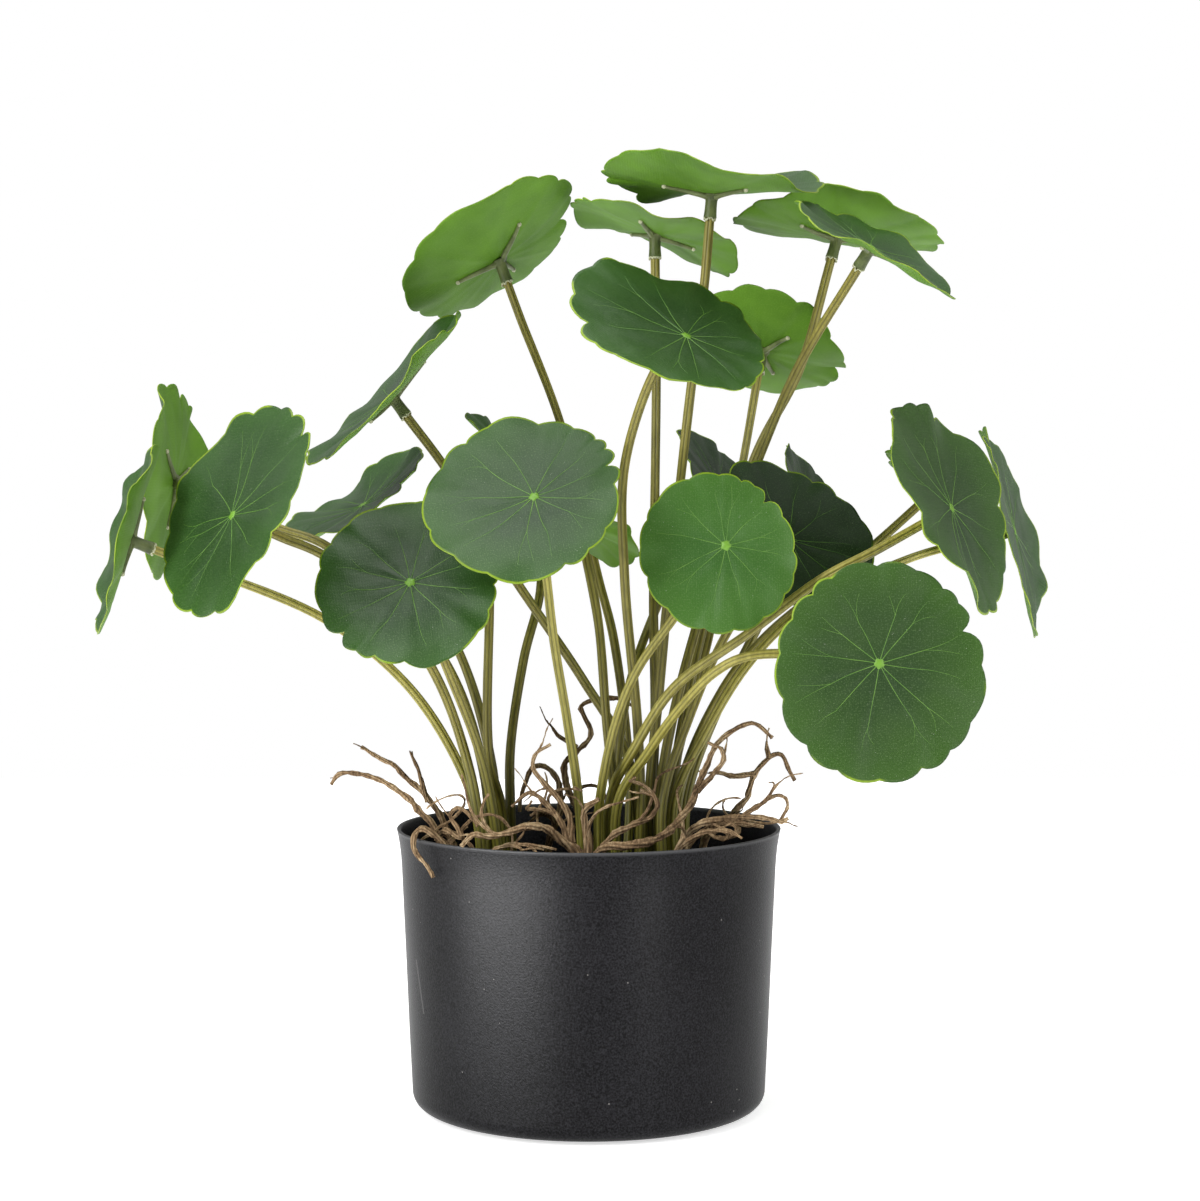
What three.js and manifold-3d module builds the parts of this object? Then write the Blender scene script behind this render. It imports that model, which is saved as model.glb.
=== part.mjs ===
// Potted pilea, an artificial house plant: round scalloped leaves on long stems that stand in a
// ballast block inside a black moulded pot, with dry fibrous roots lying around their feet.
// Millimetres and degrees, +Z up, the front of the plant towards -Y.
// The origin is the centre of the pot's underside, on the surface that it stands on.
import * as THREE from "three";
import { mergeVertices } from "three/addons/utils/BufferGeometryUtils.js";
import Module from "manifold-3d";

const wasm = await Module();
wasm.setup();

// ---- Driving dimensions ----

const FIT_GAP = 0.3; // between pieces that sit in or against each other

const POT = {
  height: 88,
  rimRadius: 60, // a 12 cm nursery pot
  flareHeight: 9, // the rim's outward sweep starts this far below the top
  neckRadius: 58.6, // just below the flare
  baseRadius: 55.3,
  cornerRadius: 5,
  cornerSteps: 4,
  wall: 1.3,
  floor: 1.6,
  footRadius: 47,
  footHeight: 0.8,
  segments: 40,
};

const BALLAST = { top: 62, socketDepth: 10, socketRadius: 2.5, socketSides: 5 };

const STEM = { radius: 1.55, sides: 5, stepLength: 18, pegRadius: 0.8, pegLength: 2.6 };

const LEAF = {
  thickness: 0.6,
  collarLength: 7.5,
  collarTop: 1.7,
  collarEnd: 1.95,
  collarSides: 6,
  boreRadius: 1.15,
};

// The three ribs that brace a blade's back, from its collar outwards.
const RIB = { root: 1.0, tip: 0.3, reach: 0.46, angles: [75, 190, 310], sides: 3 };

const ROOT = { sides: 4, stepLength: 8, socketRadius: 2 };

// ---- The leaf blank ----

// Every blade is punched with the same scalloped outline. These are its notches, in degrees round
// the hub; the first is the deep one.
const NOTCHES = [21, 37, 49, 68, 91, 119, 134, 153, 174, 200, 228, 248, 270, 292, 309, 327, 359];
const DEEP_NOTCH = 0.87;
const NOTCH = 0.955;
const LOBE = 1.015;

const rad = THREE.MathUtils.degToRad;

// The blank's radius without its scallops, for a mean radius of 1: it is a little longer than wide.
function blankRadius(angle) {
  return 1 - 0.03 * Math.cos(rad(2 * angle));
}

// The corners of the scalloped outline: a notch, then the middle of the lobe after it.
const OUTLINE = NOTCHES.flatMap((notch, i) => {
  const next = i + 1 < NOTCHES.length ? NOTCHES[i + 1] : NOTCHES[0] + 360;
  const middle = (notch + next) / 2;
  return [
    { angle: notch, radius: blankRadius(notch) * (i === 0 ? DEEP_NOTCH : NOTCH) },
    { angle: middle, radius: blankRadius(middle) * LOBE },
  ];
});

// How far a blade stands above its hub's plane, as a share of its radius, at a share rho of the way
// out and at an angle: cone and bowl lift it all round, saddle lifts it along one line and lowers
// it across, and wave ripples its margin.
function rise({ cup: [cone, bowl], saddle: [saddle, along], wave: [wave, count, start] }, rho, angle) {
  return (
    cone * rho +
    bowl * rho ** 2 +
    saddle * rho ** 2 * Math.cos(rad(2 * (angle - along))) +
    wave * rho ** 3 * Math.cos(rad(count * (angle - start)))
  );
}

// How much further a blade reaches at an angle, as a share of its size.
function leanAt({ lean: [share, towards] }, angle) {
  return share * Math.cos(rad(angle - towards));
}

// ---- The leaves and their stems ----

// hub: where the blade sits on its collar. size: its mean radius. lean: how far off centre the hub
// is, as the share of the size by which the blade reaches further, and the angle that it does so at.
// face: the way its upper side looks, as azimuth (0 is the front, 90 is +X) and elevation. spin turns
// the outline round the hub. cup, saddle and wave bend the blade, as rise says. foot: where the stem
// leaves the ballast, x and y. route: the points that the stem passes on its way up.
const LEAVES = {
  "01": {
    hub: [-141.5, -10, 178], size: 29.5, lean: [0, 0], face: [-77, 16], spin: 0,
    cup: [0, 0.09], saddle: [0.07, 0], wave: [0.03, 3, 40],
    foot: [-33.5, -4],
    route: [
      [-34.6, -4, 90], [-40, -4, 107], [-56, -3, 132], [-82, -2, 153],
      [-120, -3, 169],
    ],
  },
  "02": {
    hub: [-138.5, 58, 195.5], size: 33.5, lean: [0, 0], face: [-96, 4], spin: 90,
    cup: [0, 0.03], saddle: [0.08, 90], wave: [0.03, 3, 0],
    foot: [-31, 1.5],
    route: [
      [-33, 2, 105], [-47, 6, 142], [-82, 11, 175], [-99, 20, 181],
      [-122, 44, 190],
    ],
  },
  "03": {
    hub: [-105.5, -40, 186], size: 34, lean: [0.06, 76], face: [-53, 26], spin: 40,
    cup: [0, 0.03], saddle: [-0.04, 76], wave: [0.03, 3, 0],
    foot: [-32, -10.5], route: [[-36.3, -9, 104], [-51, -6, 142], [-80, -9, 172], [-94, -17, 179]],
  },
  "04": {
    hub: [-62, 8, 222.7], size: 32.5, lean: [0, 0], face: [-78, 44], spin: 0,
    cup: [0, 0.11], saddle: [-0.01, 0], wave: [0.03, 3, 20],
    foot: [16.5, 4], route: [[12.6, 5, 108], [-1.5, 6, 133], [-24.5, 7, 167], [-45, 8, 200]],
  },
  "05": {
    hub: [-74, 42, 188], size: 25, lean: [0, 0], face: [-63, 57], spin: 0,
    cup: [0, 0.14], saddle: [0.08, 71], wave: [0.03, 3, 0],
    foot: [-28.5, 7], route: [[-30.5, 8, 105], [-42, 16, 143], [-61, 28, 169]],
  },
  "06": {
    hub: [-16, -42, 191.5], size: 30.5, lean: [0.12, 185], face: [-11, 41], spin: 5,
    cup: [0, 0.03], saddle: [0.03, 45], wave: [0.02, 3, 0],
    foot: [-1.5, -17], route: [[-3, -17, 98], [-6.5, -20, 123], [-10.5, -25, 148], [-13, -31, 171]],
  },
  "07": {
    hub: [-53, -38, 166], size: 28, lean: [0.04, 180], face: [-6, 34], spin: 204,
    cup: [0, 0.03], saddle: [0.02, 0], wave: [0.02, 3, 0],
    foot: [-26.5, -9], route: [[-32, -10, 106], [-43, -17, 138], [-50, -27, 156]],
  },
  "08": {
    hub: [-29, 30, 267], size: 32.5, lean: [0.16, 27], face: [-122.5, 50], spin: 120,
    cup: [0, 0.09], saddle: [0.01, 27], wave: [0.03, 3, 0],
    foot: [11, 9], route: [[13, 12, 99], [8, 18, 145], [3, 22, 165], [-9, 26, 214], [-22, 29, 248]],
  },
  "09": {
    hub: [21, 25, 275], size: 29, lean: [0, 0], face: [112, 70], spin: 60,
    cup: [0, 0.01], saddle: [-0.06, 90], wave: [0.06, 3, 210],
    foot: [20, 8],
    route: [
      [20, 9, 95], [21, 12, 122], [20.5, 16, 158], [21, 20, 190],
      [21.5, 24, 231],
    ],
  },
  "10": {
    hub: [38, -5, 284.5], size: 33.5, lean: [0, 0], face: [90, 87.5], spin: 30,
    cup: [0.1, 0.06], saddle: [0.13, 135], wave: [0.03, 5, 0],
    foot: [20, 0],
    route: [
      [19, 1, 96], [22, 0, 131], [24.5, -2, 159], [28.5, -5, 197],
      [32, -6, 228], [35.5, -6, 255],
    ],
  },
  "11": {
    hub: [29, -40, 239], size: 31.7, lean: [0.2, 139], face: [34.5, 52.5], spin: 150,
    cup: [0, 0.035], saddle: [0.01, 50], wave: [0.03, 3, 0],
    foot: [15, -9],
    route: [
      [16, -10, 97], [15, -12, 122], [11, -18, 167], [11, -24, 201],
      [20, -32, 229],
    ],
  },
  "12": {
    hub: [57, 51, 239], size: 28.5, lean: [0, 0], face: [153, 57], spin: 200,
    cup: [0, 0.08], saddle: [0.05, 90], wave: [0.03, 3, 0],
    foot: [26, 11], route: [[25.5, 12, 95], [39, 22, 149], [50, 38, 202]],
  },
  "13": {
    hub: [80, 32, 274.5], size: 34, lean: [0, 0], face: [132, 80], spin: 10,
    cup: [0, 0.13], saddle: [0.088, 138], wave: [0.02, 3, 0],
    foot: [26, 4.5], route: [[26, 6, 95], [36, 14, 149], [53, 21, 204], [67, 23, 231]],
  },
  "14": {
    hub: [85, -25, 266.5], size: 27.8, lean: [0.06, 293], face: [63, 58], spin: 240,
    cup: [0, 0.03], saddle: [0.05, 20], wave: [0.05, 3, 0],
    foot: [23, -4], route: [[22, -3, 97], [34, 5, 151], [54, 12, 204], [65, 2, 231]],
  },
  "15": {
    hub: [109.5, -26, 188], size: 34, lean: [0, 0], face: [61, 21.5], spin: 50,
    cup: [0, 0.03], saddle: [-0.09, 120], wave: [0.03, 3, 0],
    foot: [6.5, -9.5],
    route: [
      [7, -10, 99], [14, -16, 114], [26, -20, 133], [48, -28, 150],
      [70, -34, 167], [85, -35, 175],
    ],
  },
  "16": {
    hub: [139.5, 45, 179.5], size: 36.5, lean: [0, 0], face: [76, 14.5], spin: 90,
    cup: [0, 0.01], saddle: [0.07, 0], wave: [0.03, 3, 0],
    foot: [28, -5],
    route: [
      [26.5, -3, 96], [36, -3, 117], [49, 0, 138], [65, 4, 154],
      [102, 22, 171],
    ],
  },
  "17": {
    hub: [112.5, 24, 194.5], size: 20.5, lean: [0, 0], face: [122, 49], spin: 20,
    cup: [0, 0.03], saddle: [0.03, 0], wave: [0.03, 3, 0],
    foot: [31, 1], route: [[28, 2, 96], [42, 7, 130], [56, 11, 147], [78, 13, 165], [92, 15, 177]],
  },
  "18": {
    hub: [85, -55, 143], size: 31.3, lean: [0.08, 270], face: [2, 5], spin: 0,
    cup: [0, 0.03], saddle: [0.02, 0], wave: [0.02, 3, 0],
    foot: [9.5, -14],
    route: [
      [9, -14, 97], [18, -20, 113], [28, -28, 128], [38, -34, 139],
      [48, -37, 144], [75, -38, 144],
    ],
  },
  "19": {
    hub: [41, -38, 177], size: 23.5, lean: [0.15, 223], face: [-4, 10], spin: 28,
    cup: [0, 0.03], saddle: [0.02, 0], wave: [0.02, 3, 0],
    foot: [3.5, -14],
    route: [
      [3, -14, 92], [4, -16, 102], [8.5, -19, 123], [15, -22, 139],
      [26, -26, 155],
    ],
  },
  "20": {
    hub: [62, -6, 178], size: 28.5, lean: [0.05, 90], face: [33, 36], spin: 100,
    cup: [0, 0.06], saddle: [0.04, 0], wave: [0.05, 4, 0],
    foot: [24, -10], route: [[23, -8, 97], [31, -6, 122], [42, -3, 147]],
  },
  "21": {
    hub: [44, 58, 192], size: 24.5, lean: [0, 0], face: [66, 30], spin: 0,
    cup: [0, 0.05], saddle: [0.05, 0], wave: [0.05, 3, 0],
    foot: [8.5, -2], route: [[8, -1, 96], [12, 3, 129], [24, 30, 160], [36, 49, 180]],
  },
  "22": {
    hub: [-3, 1, 183], size: 21, lean: [0, 0], face: [127, 54], spin: 0,
    cup: [0, 0.03], saddle: [0.03, 0], wave: [0.03, 3, 0],
    foot: [9, -7], route: [[8, -6, 97], [5.5, -6, 122], [3, -3, 152]],
  },
  "23": {
    hub: [-24, 16, 203], size: 20, lean: [0, 0], face: [75, 45], spin: 0,
    cup: [0, 0.05], saddle: [0.03, 0], wave: [0.03, 3, 0],
    foot: [-25.5, 0.5], route: [[-27, 1, 92], [-31, -4, 110], [-31, -2, 152], [-30, 3, 180]],
  },
  "24": {
    hub: [-16.5, 55, 190.5], size: 23.5, lean: [0, 0], face: [170, 50], spin: 0,
    cup: [0, 0.05], saddle: [0.03, 0], wave: [0.03, 3, 0],
    foot: [-24, 11], route: [[-25, 11.5, 94], [-25, 15, 111], [-21, 26, 139], [-16, 38, 160]],
  },
  "25": {
    hub: [72, 38, 185.5], size: 23, lean: [0, 0], face: [70, 18], spin: 0,
    cup: [0, 0.05], saddle: [0.03, 0], wave: [0.03, 3, 0],
    foot: [31, 8], route: [[31, 9, 96], [44, 15, 130], [60, 27, 160]],
  },
};

// ---- The roots ----

// Each root is one piece of dry fibre: strands that grow out of each other, thick first. A strand
// is its radius and the points that it passes; the first strand's foot stands in the ballast.
const ROOTS = {
  root_01: [
    {
      radius: 1.1,
      points: [
        [-45, -24, 52.3], [-45, -24, 63], [-44, -24, 80], [-47, -25, 91],
        [-52, -24, 96.5], [-56, -22, 101], [-61, -20, 104], [-71, -18, 106],
        [-76, -18, 106], [-78.5, -18, 103],
      ],
    },
    {
      radius: 0.8,
      points: [
        [-46, -24.5, 87], [-43, -30, 90.5], [-38.5, -37, 89.5], [-40, -36.5, 93],
        [-41.5, -35, 96.5], [-39, -35, 98.5], [-36, -36, 97], [-32.5, -38, 92.5],
      ],
    },
  ],
  root_02: [
    {
      radius: 1.1,
      points: [
        [-42, 8, 52.3], [-42, 8, 78], [-46.5, 6.5, 89.5], [-51, 6, 96.5],
        [-56, 8, 101.5], [-61, 9, 106], [-67.5, 12, 108], [-72, 14, 111],
      ],
    },
    { radius: 0.7, points: [[-51, 6, 95], [-53, 5, 103], [-57, 5, 111]] },
  ],
  root_03: [
    {
      radius: 1.1,
      points: [
        [-33, -31, 52.3], [-33, -31, 63], [-34, -32, 72], [-41, -33.5, 84],
        [-46.5, -32.5, 89.8], [-50.5, -32, 91.6], [-52.6, -33, 90.2],
        [-52.4, -34.5, 87], [-49.6, -36.5, 82.5], [-47, -38.5, 77.5],
      ],
    },
    {
      radius: 0.8,
      points: [
        [-33.5, -31, 70], [-30, -36, 84], [-24, -40, 88], [-16, -42, 87.5],
        [-9, -41, 86],
      ],
    },
  ],
  root_04: [
    {
      radius: 1.1,
      points: [
        [-13, 13, 52.3], [-13, 13, 78], [-9, 12, 93], [-10, 12, 101],
        [-14, 12, 106.5], [-18.5, 12, 105.5], [-21, 11, 98], [-21.5, 10, 91],
      ],
    },
    { radius: 0.8, points: [[-13, 13, 80], [-11, 8, 88], [-15, 5, 91], [-20, 4.5, 88.5]] },
  ],
  root_05: [
    {
      radius: 1.1,
      points: [
        [0, 30, 52.3], [0, 30, 64], [0, 30, 80], [-7, 28, 97], [-8, 28, 105],
        [0, 28, 114], [-2, 28, 123], [8, 29, 126], [16, 30, 122],
      ],
    },
    { radius: 0.7, points: [[-4, 28, 110], [-9, 26, 113], [-13, 23, 118]] },
  ],
  root_06: [
    {
      radius: 1.1,
      points: [
        [37, 20, 52.3], [37, 20, 64], [37, 20, 80], [44, 15, 88], [47, 13, 91.5],
        [50, 13, 95.5], [52.5, 13, 103.5], [57, 13, 108.5], [61, 13, 108.5],
        [66, 15, 100.5],
      ],
    },
    {
      radius: 0.8,
      points: [
        [52.5, 13, 103], [46.5, 12, 102], [41.5, 11, 103.5], [37.5, 10, 103.5],
      ],
    },
    { radius: 0.7, points: [[57, 13, 108], [56.5, 13, 113.5]] },
  ],
  root_07: [
    {
      radius: 1.2,
      points: [
        [25.5, -27, 52.3], [25.5, -27, 64], [25.5, -27, 78], [30, -29.5, 89.5],
        [33, -30, 92], [40.5, -29, 94.5], [48, -28, 95.5], [53.5, -26, 94],
        [58.5, -24, 92], [61, -24, 93],
      ],
    },
    {
      radius: 0.8,
      points: [
        [27, -27, 80], [29, -34, 87], [33, -37, 90.5], [38, -38, 92],
        [42.5, -40, 92], [46.5, -41.5, 89.6],
      ],
    },
    {
      radius: 0.9,
      points: [
        [25.5, -27, 78], [31, -25, 87], [38, -24, 91], [46, -23, 92], [53, -21, 91],
      ],
    },
    { radius: 0.7, points: [[47, -28, 95], [53, -26, 99], [57, -25, 104]] },
  ],
  root_08: [
    { radius: 1.5, points: [[0, -30, 52.3], [0, -30, 84], [-1, -31, 97], [3, -33, 101]] },
    {
      radius: 1.2,
      points: [
        [-0.5, -30, 80], [-5, -32, 85.5], [-9.5, -35, 89], [-14, -38, 93],
        [-18.5, -41, 93.5], [-23, -43, 91.5], [-29, -45.5, 90.5], [-34, -48, 91.3],
        [-38, -50, 88.5],
      ],
    },
    {
      radius: 0.9,
      points: [
        [-0.5, -30, 82], [-6, -29.5, 88], [-8.5, -29, 93], [-11.5, -27, 97.5],
        [-16.5, -26, 101.5], [-20, -25, 101], [-23.5, -24, 97.5],
      ],
    },
    {
      radius: 0.9,
      points: [
        [-5, -29.5, 87], [-6.2, -28, 95.5], [-9.5, -27, 101], [-13, -26, 104],
        [-17, -25, 108.5], [-16.5, -25, 112.5], [-11.5, -25, 116],
      ],
    },
    {
      radius: 0.9,
      points: [
        [0, -30, 80], [4.5, -30, 86], [7.5, -31, 90], [13.5, -31, 93],
        [19.5, -30, 95], [21.5, -30, 98], [20, -30, 101.5], [15.5, -30, 103.5],
      ],
    },
    {
      radius: 1.1,
      points: [
        [0, -30, 77], [2.5, -34, 84], [6.5, -38, 87], [13.5, -39.5, 88],
        [20.5, -38.5, 89], [25.5, -36, 91.5], [29.5, -31, 96], [33, -25, 102.5],
        [36, -20, 108.5], [39, -18, 114], [43.5, -16, 119], [50, -15, 122],
        [56.5, -14, 117],
      ],
    },
    {
      radius: 0.8,
      points: [
        [33, -25, 102], [38, -23, 107], [41.5, -22, 111], [41, -21.5, 114.5],
        [36.5, -21, 116.5],
      ],
    },
  ],
};

// ---- Materials ----

const material = (colour, roughness) =>
  new THREE.MeshStandardMaterial({ color: colour, roughness, metalness: 0 });

const POT_PLASTIC = material(0x343234, 0.62);
const BALLAST_CEMENT = material(0x2a2622, 0.95);
const LEAF_GREEN = material(0x3e5c32, 0.5);
const STEM_OLIVE = material(0x82803c, 0.55);
const ROOT_FIBRE = material(0x967855, 0.9);

// ---- Geometry helpers ----

const vec = (point) => new THREE.Vector3(...point);

// A closed three.js geometry as a solid: its seams are merged and the flat triangles at its poles
// are left out.
function solid(geometry) {
  const loose = geometry.index ? geometry.toNonIndexed() : geometry;
  const bare = new THREE.BufferGeometry().setAttribute("position", loose.getAttribute("position"));
  const merged = mergeVertices(bare, 1e-4);
  const corners = merged.index.array;
  const triVerts = [];
  for (let i = 0; i < corners.length; i += 3) {
    const [a, b, c] = corners.slice(i, i + 3);
    if (a !== b && b !== c && c !== a) triVerts.push(a, b, c);
  }
  return new wasm.Manifold(
    new wasm.Mesh({
      numProp: 3,
      vertProperties: merged.attributes.position.array,
      triVerts: new Uint32Array(triVerts),
    }),
  );
}

function meshOf(name, shape, finish) {
  const { vertProperties, triVerts } = shape.getMesh();
  const geometry = new THREE.BufferGeometry()
    .setAttribute("position", new THREE.BufferAttribute(vertProperties, 3))
    .setIndex(new THREE.BufferAttribute(triVerts, 1));
  geometry.computeVertexNormals();
  const mesh = new THREE.Mesh(geometry, finish);
  mesh.name = name;
  return mesh;
}

// A straight round bar from one point to another, thicker or thinner at its far end.
function bar(start, end, startRadius, endRadius, sides) {
  const axis = end.clone().sub(start);
  const geometry = new THREE.CylinderGeometry(endRadius, startRadius, axis.length(), sides);
  geometry.translate(0, axis.length() / 2, 0);
  const up = vec([0, 1, 0]);
  geometry.applyQuaternion(new THREE.Quaternion().setFromUnitVectors(up, axis.clone().normalize()));
  geometry.translate(start.x, start.y, start.z);
  return geometry;
}

// A rod of one thickness along a smooth curve through the points.
function rod(points, radius, sides, stepLength) {
  const curve = new THREE.CatmullRomCurve3(points, false, "centripetal");
  const section = new THREE.Shape();
  for (let i = 0; i < sides; i++) {
    const turn = (2 * Math.PI * i) / sides;
    section[i ? "lineTo" : "moveTo"](radius * Math.cos(turn), radius * Math.sin(turn));
  }
  const steps = Math.max(2, Math.round(curve.getLength() / stepLength));
  return new THREE.ExtrudeGeometry(section, { steps, extrudePath: curve, bevelEnabled: false });
}

// ---- The pot ----

function potMesh() {
  const { height, wall, cornerRadius, cornerSteps, baseRadius, footRadius, footHeight } = POT;
  const flareFoot = height - POT.flareHeight;
  const corner = [];
  for (let i = 0; i <= cornerSteps; i++) {
    const turn = (Math.PI / 2) * (i / cornerSteps);
    corner.push([
      baseRadius - cornerRadius + cornerRadius * Math.sin(turn),
      footHeight + cornerRadius * (1 - Math.cos(turn)),
    ]);
  }
  const profile = [
    [0, 0],
    [footRadius, 0],
    [footRadius + footHeight / 2, footHeight],
    ...corner,
    [POT.neckRadius, flareFoot],
    [POT.rimRadius, height],
    [POT.rimRadius - wall, height],
    [POT.neckRadius - wall, flareFoot],
    [baseRadius - wall, footHeight + cornerRadius],
    [baseRadius - cornerRadius, POT.floor + footHeight],
    [0, POT.floor + footHeight],
  ];
  const outline = profile.map(([r, h]) => new THREE.Vector2(r, h));
  const shell = new THREE.LatheGeometry(outline, POT.segments).rotateX(Math.PI / 2);
  return meshOf("pot", solid(shell), POT_PLASTIC);
}

// The pot's inner radius at a height above the corner and below the flare.
function boreRadiusAt(height) {
  const low = POT.footHeight + POT.cornerRadius;
  const share = (height - low) / (POT.height - POT.flareHeight - low);
  return POT.baseRadius + share * (POT.neckRadius - POT.baseRadius) - POT.wall;
}

// ---- The ballast ----

function ballastMesh(feet, rootFeet) {
  const floor = POT.floor + POT.footHeight + FIT_GAP;
  const shoulder = POT.footHeight + POT.cornerRadius;
  const profile = [
    [0, floor],
    [POT.baseRadius - POT.cornerRadius - 2 * FIT_GAP, floor],
    [boreRadiusAt(shoulder) - 2 * FIT_GAP, shoulder + FIT_GAP],
    [boreRadiusAt(BALLAST.top) - 2 * FIT_GAP, BALLAST.top],
    [0, BALLAST.top],
  ];
  const outline = profile.map(([r, h]) => new THREE.Vector2(r, h));
  const block = new THREE.LatheGeometry(outline, POT.segments / 2).rotateX(Math.PI / 2);
  let shape = solid(block);
  const drill = ([x, y], radius) => {
    const bottom = vec([x, y, BALLAST.top - BALLAST.socketDepth]);
    const mouth = vec([x, y, BALLAST.top + 1]);
    shape = shape.subtract(solid(bar(bottom, mouth, radius, radius, BALLAST.socketSides)));
  };
  feet.forEach((foot) => drill(foot, BALLAST.socketRadius));
  rootFeet.forEach((foot) => drill(foot, ROOT.socketRadius));
  return meshOf("ballast_block", shape, BALLAST_CEMENT);
}

// ---- A leaf ----

// The turn that lays a blade, modelled looking up +Z, the way its face says.
function facing([azimuth, elevation]) {
  const [a, e] = [rad(azimuth), rad(elevation)];
  const normal = vec([Math.sin(a) * Math.cos(e), -Math.cos(a) * Math.cos(e), Math.sin(e)]);
  const across = new THREE.Vector3().crossVectors(vec([0, 0, 1]), normal).normalize();
  const upward = new THREE.Vector3().crossVectors(normal, across);
  const basis = new THREE.Matrix4().makeBasis(across, upward, normal);
  return new THREE.Quaternion().setFromRotationMatrix(basis);
}

// From a leaf's hub down its collar, towards the last point that its stem passes.
function neck(leaf) {
  return vec(leaf.route.at(-1)).sub(vec(leaf.hub)).normalize();
}

// The blade: a turned disc, its rim moved out to the scalloped outline, then bent.
function blade(leaf) {
  const half = LEAF.thickness / 2;
  const rings = [0, 1];
  const underside = rings.map((rho) => new THREE.Vector2(rho, -half));
  const upper = rings.map((rho) => new THREE.Vector2(rho, half)).reverse();
  const disc = new THREE.LatheGeometry([...underside, ...upper], OUTLINE.length);
  const points = disc.getAttribute("position");
  for (let i = 0; i < points.count; i++) {
    const rho = Math.hypot(points.getX(i), points.getZ(i));
    const turn = Math.atan2(points.getX(i), points.getZ(i)) / (2 * Math.PI);
    const corner = OUTLINE[Math.round((turn + 1) * OUTLINE.length) % OUTLINE.length];
    const angle = corner.angle + leaf.spin;
    const reach = leaf.size * rho * (corner.radius + leanAt(leaf, angle));
    points.setXYZ(
      i,
      reach * Math.cos(rad(angle)),
      reach * Math.sin(rad(angle)),
      points.getY(i) + leaf.size * rise(leaf, rho, angle),
    );
  }
  return solid(disc);
}

function leafMesh(name, leaf) {
  const turn = facing(leaf.face);
  const down = neck(leaf).applyQuaternion(turn.clone().invert());
  const under = (rho, angle, depth) =>
    vec([
      leaf.size * rho * Math.cos(rad(angle)),
      leaf.size * rho * Math.sin(rad(angle)),
      leaf.size * rho * rise(leaf, 1, angle) - depth,
    ]);
  const hub = under(0, 0, LEAF.thickness / 4);
  const ribRoot = under(0, 0, LEAF.thickness / 2 + RIB.root / 2);
  const collarEnd = down.clone().multiplyScalar(LEAF.collarLength);
  const boreStart = down.clone().multiplyScalar(LEAF.collarLength - STEM.pegLength - FIT_GAP);
  const boreEnd = down.clone().multiplyScalar(LEAF.collarLength + 1);
  const collar = bar(hub, collarEnd, LEAF.collarTop, LEAF.collarEnd, LEAF.collarSides);
  let shape = blade(leaf).add(solid(collar));
  for (const angle of RIB.angles) {
    const end = under(RIB.reach, angle + leaf.spin, LEAF.thickness / 4);
    shape = shape.add(solid(bar(ribRoot, end, RIB.root, RIB.tip, RIB.sides)));
  }
  shape = shape.subtract(solid(bar(boreStart, boreEnd, LEAF.boreRadius, LEAF.boreRadius, 6)));
  const mesh = meshOf(name, shape, LEAF_GREEN);
  mesh.position.copy(vec(leaf.hub));
  mesh.quaternion.copy(turn);
  return mesh;
}

// ---- A stem ----

function stemMesh(name, leaf) {
  const [x, y] = leaf.foot;
  const down = neck(leaf);
  const along = (distance) => vec(leaf.hub).addScaledVector(down, distance);
  const head = along(LEAF.collarLength + FIT_GAP);
  const points = [
    vec([x, y, BALLAST.top - BALLAST.socketDepth + FIT_GAP]),
    vec([x, y, BALLAST.top]),
    ...leaf.route.map(vec),
    head,
  ];
  const peg = bar(
    along(LEAF.collarLength + FIT_GAP + 1),
    along(LEAF.collarLength - STEM.pegLength),
    STEM.pegRadius,
    STEM.pegRadius,
    6,
  );
  const shape = solid(rod(points, STEM.radius, STEM.sides, STEM.stepLength)).add(solid(peg));
  return meshOf(name, shape, STEM_OLIVE);
}

// ---- A root ----

function rootMesh(name, strands) {
  const shapes = strands.map(({ radius, points }) =>
    solid(rod(points.map(vec), radius, ROOT.sides, ROOT.stepLength)),
  );
  return meshOf(name, shapes.reduce((whole, part) => whole.add(part)), ROOT_FIBRE);
}

// ---- The plant ----

const plant = new THREE.Group();
plant.add(potMesh());
plant.add(
  ballastMesh(
    Object.values(LEAVES).map((leaf) => leaf.foot),
    Object.values(ROOTS).map(([main]) => main.points[0]),
  ),
);
for (const [number, leaf] of Object.entries(LEAVES)) {
  plant.add(leafMesh(`leaf_${number}`, leaf));
  plant.add(stemMesh(`stem_${number}`, leaf));
}
for (const [name, strands] of Object.entries(ROOTS)) {
  plant.add(rootMesh(name, strands));
}

export default plant;
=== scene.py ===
"""Artificial pilea in a black moulded pot: scalloped leaves on long ridged stems, dry roots."""

import math
import random

import bmesh
import bpy
from mathutils import Matrix, Vector, noise
from mathutils.bvhtree import BVHTree


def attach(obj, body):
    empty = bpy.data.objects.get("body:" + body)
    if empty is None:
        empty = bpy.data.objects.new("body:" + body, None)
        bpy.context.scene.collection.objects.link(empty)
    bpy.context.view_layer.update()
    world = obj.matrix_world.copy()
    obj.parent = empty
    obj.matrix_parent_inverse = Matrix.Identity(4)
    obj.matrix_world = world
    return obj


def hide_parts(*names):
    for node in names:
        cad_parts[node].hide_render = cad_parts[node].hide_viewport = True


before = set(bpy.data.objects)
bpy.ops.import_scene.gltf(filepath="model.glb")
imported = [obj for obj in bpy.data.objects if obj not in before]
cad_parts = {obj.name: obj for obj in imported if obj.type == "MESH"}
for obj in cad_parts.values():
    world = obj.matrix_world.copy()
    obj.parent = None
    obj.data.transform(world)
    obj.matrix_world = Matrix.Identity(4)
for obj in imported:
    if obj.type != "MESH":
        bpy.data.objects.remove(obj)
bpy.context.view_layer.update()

MM = 0.001

# ---- Camera ----

PICTURE_HEIGHT = 1201
FOCAL_LENGTH = 2700  # in the same dots as the picture's height
SENSOR = 36.0
TILT_DOWN = 2.74

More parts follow.
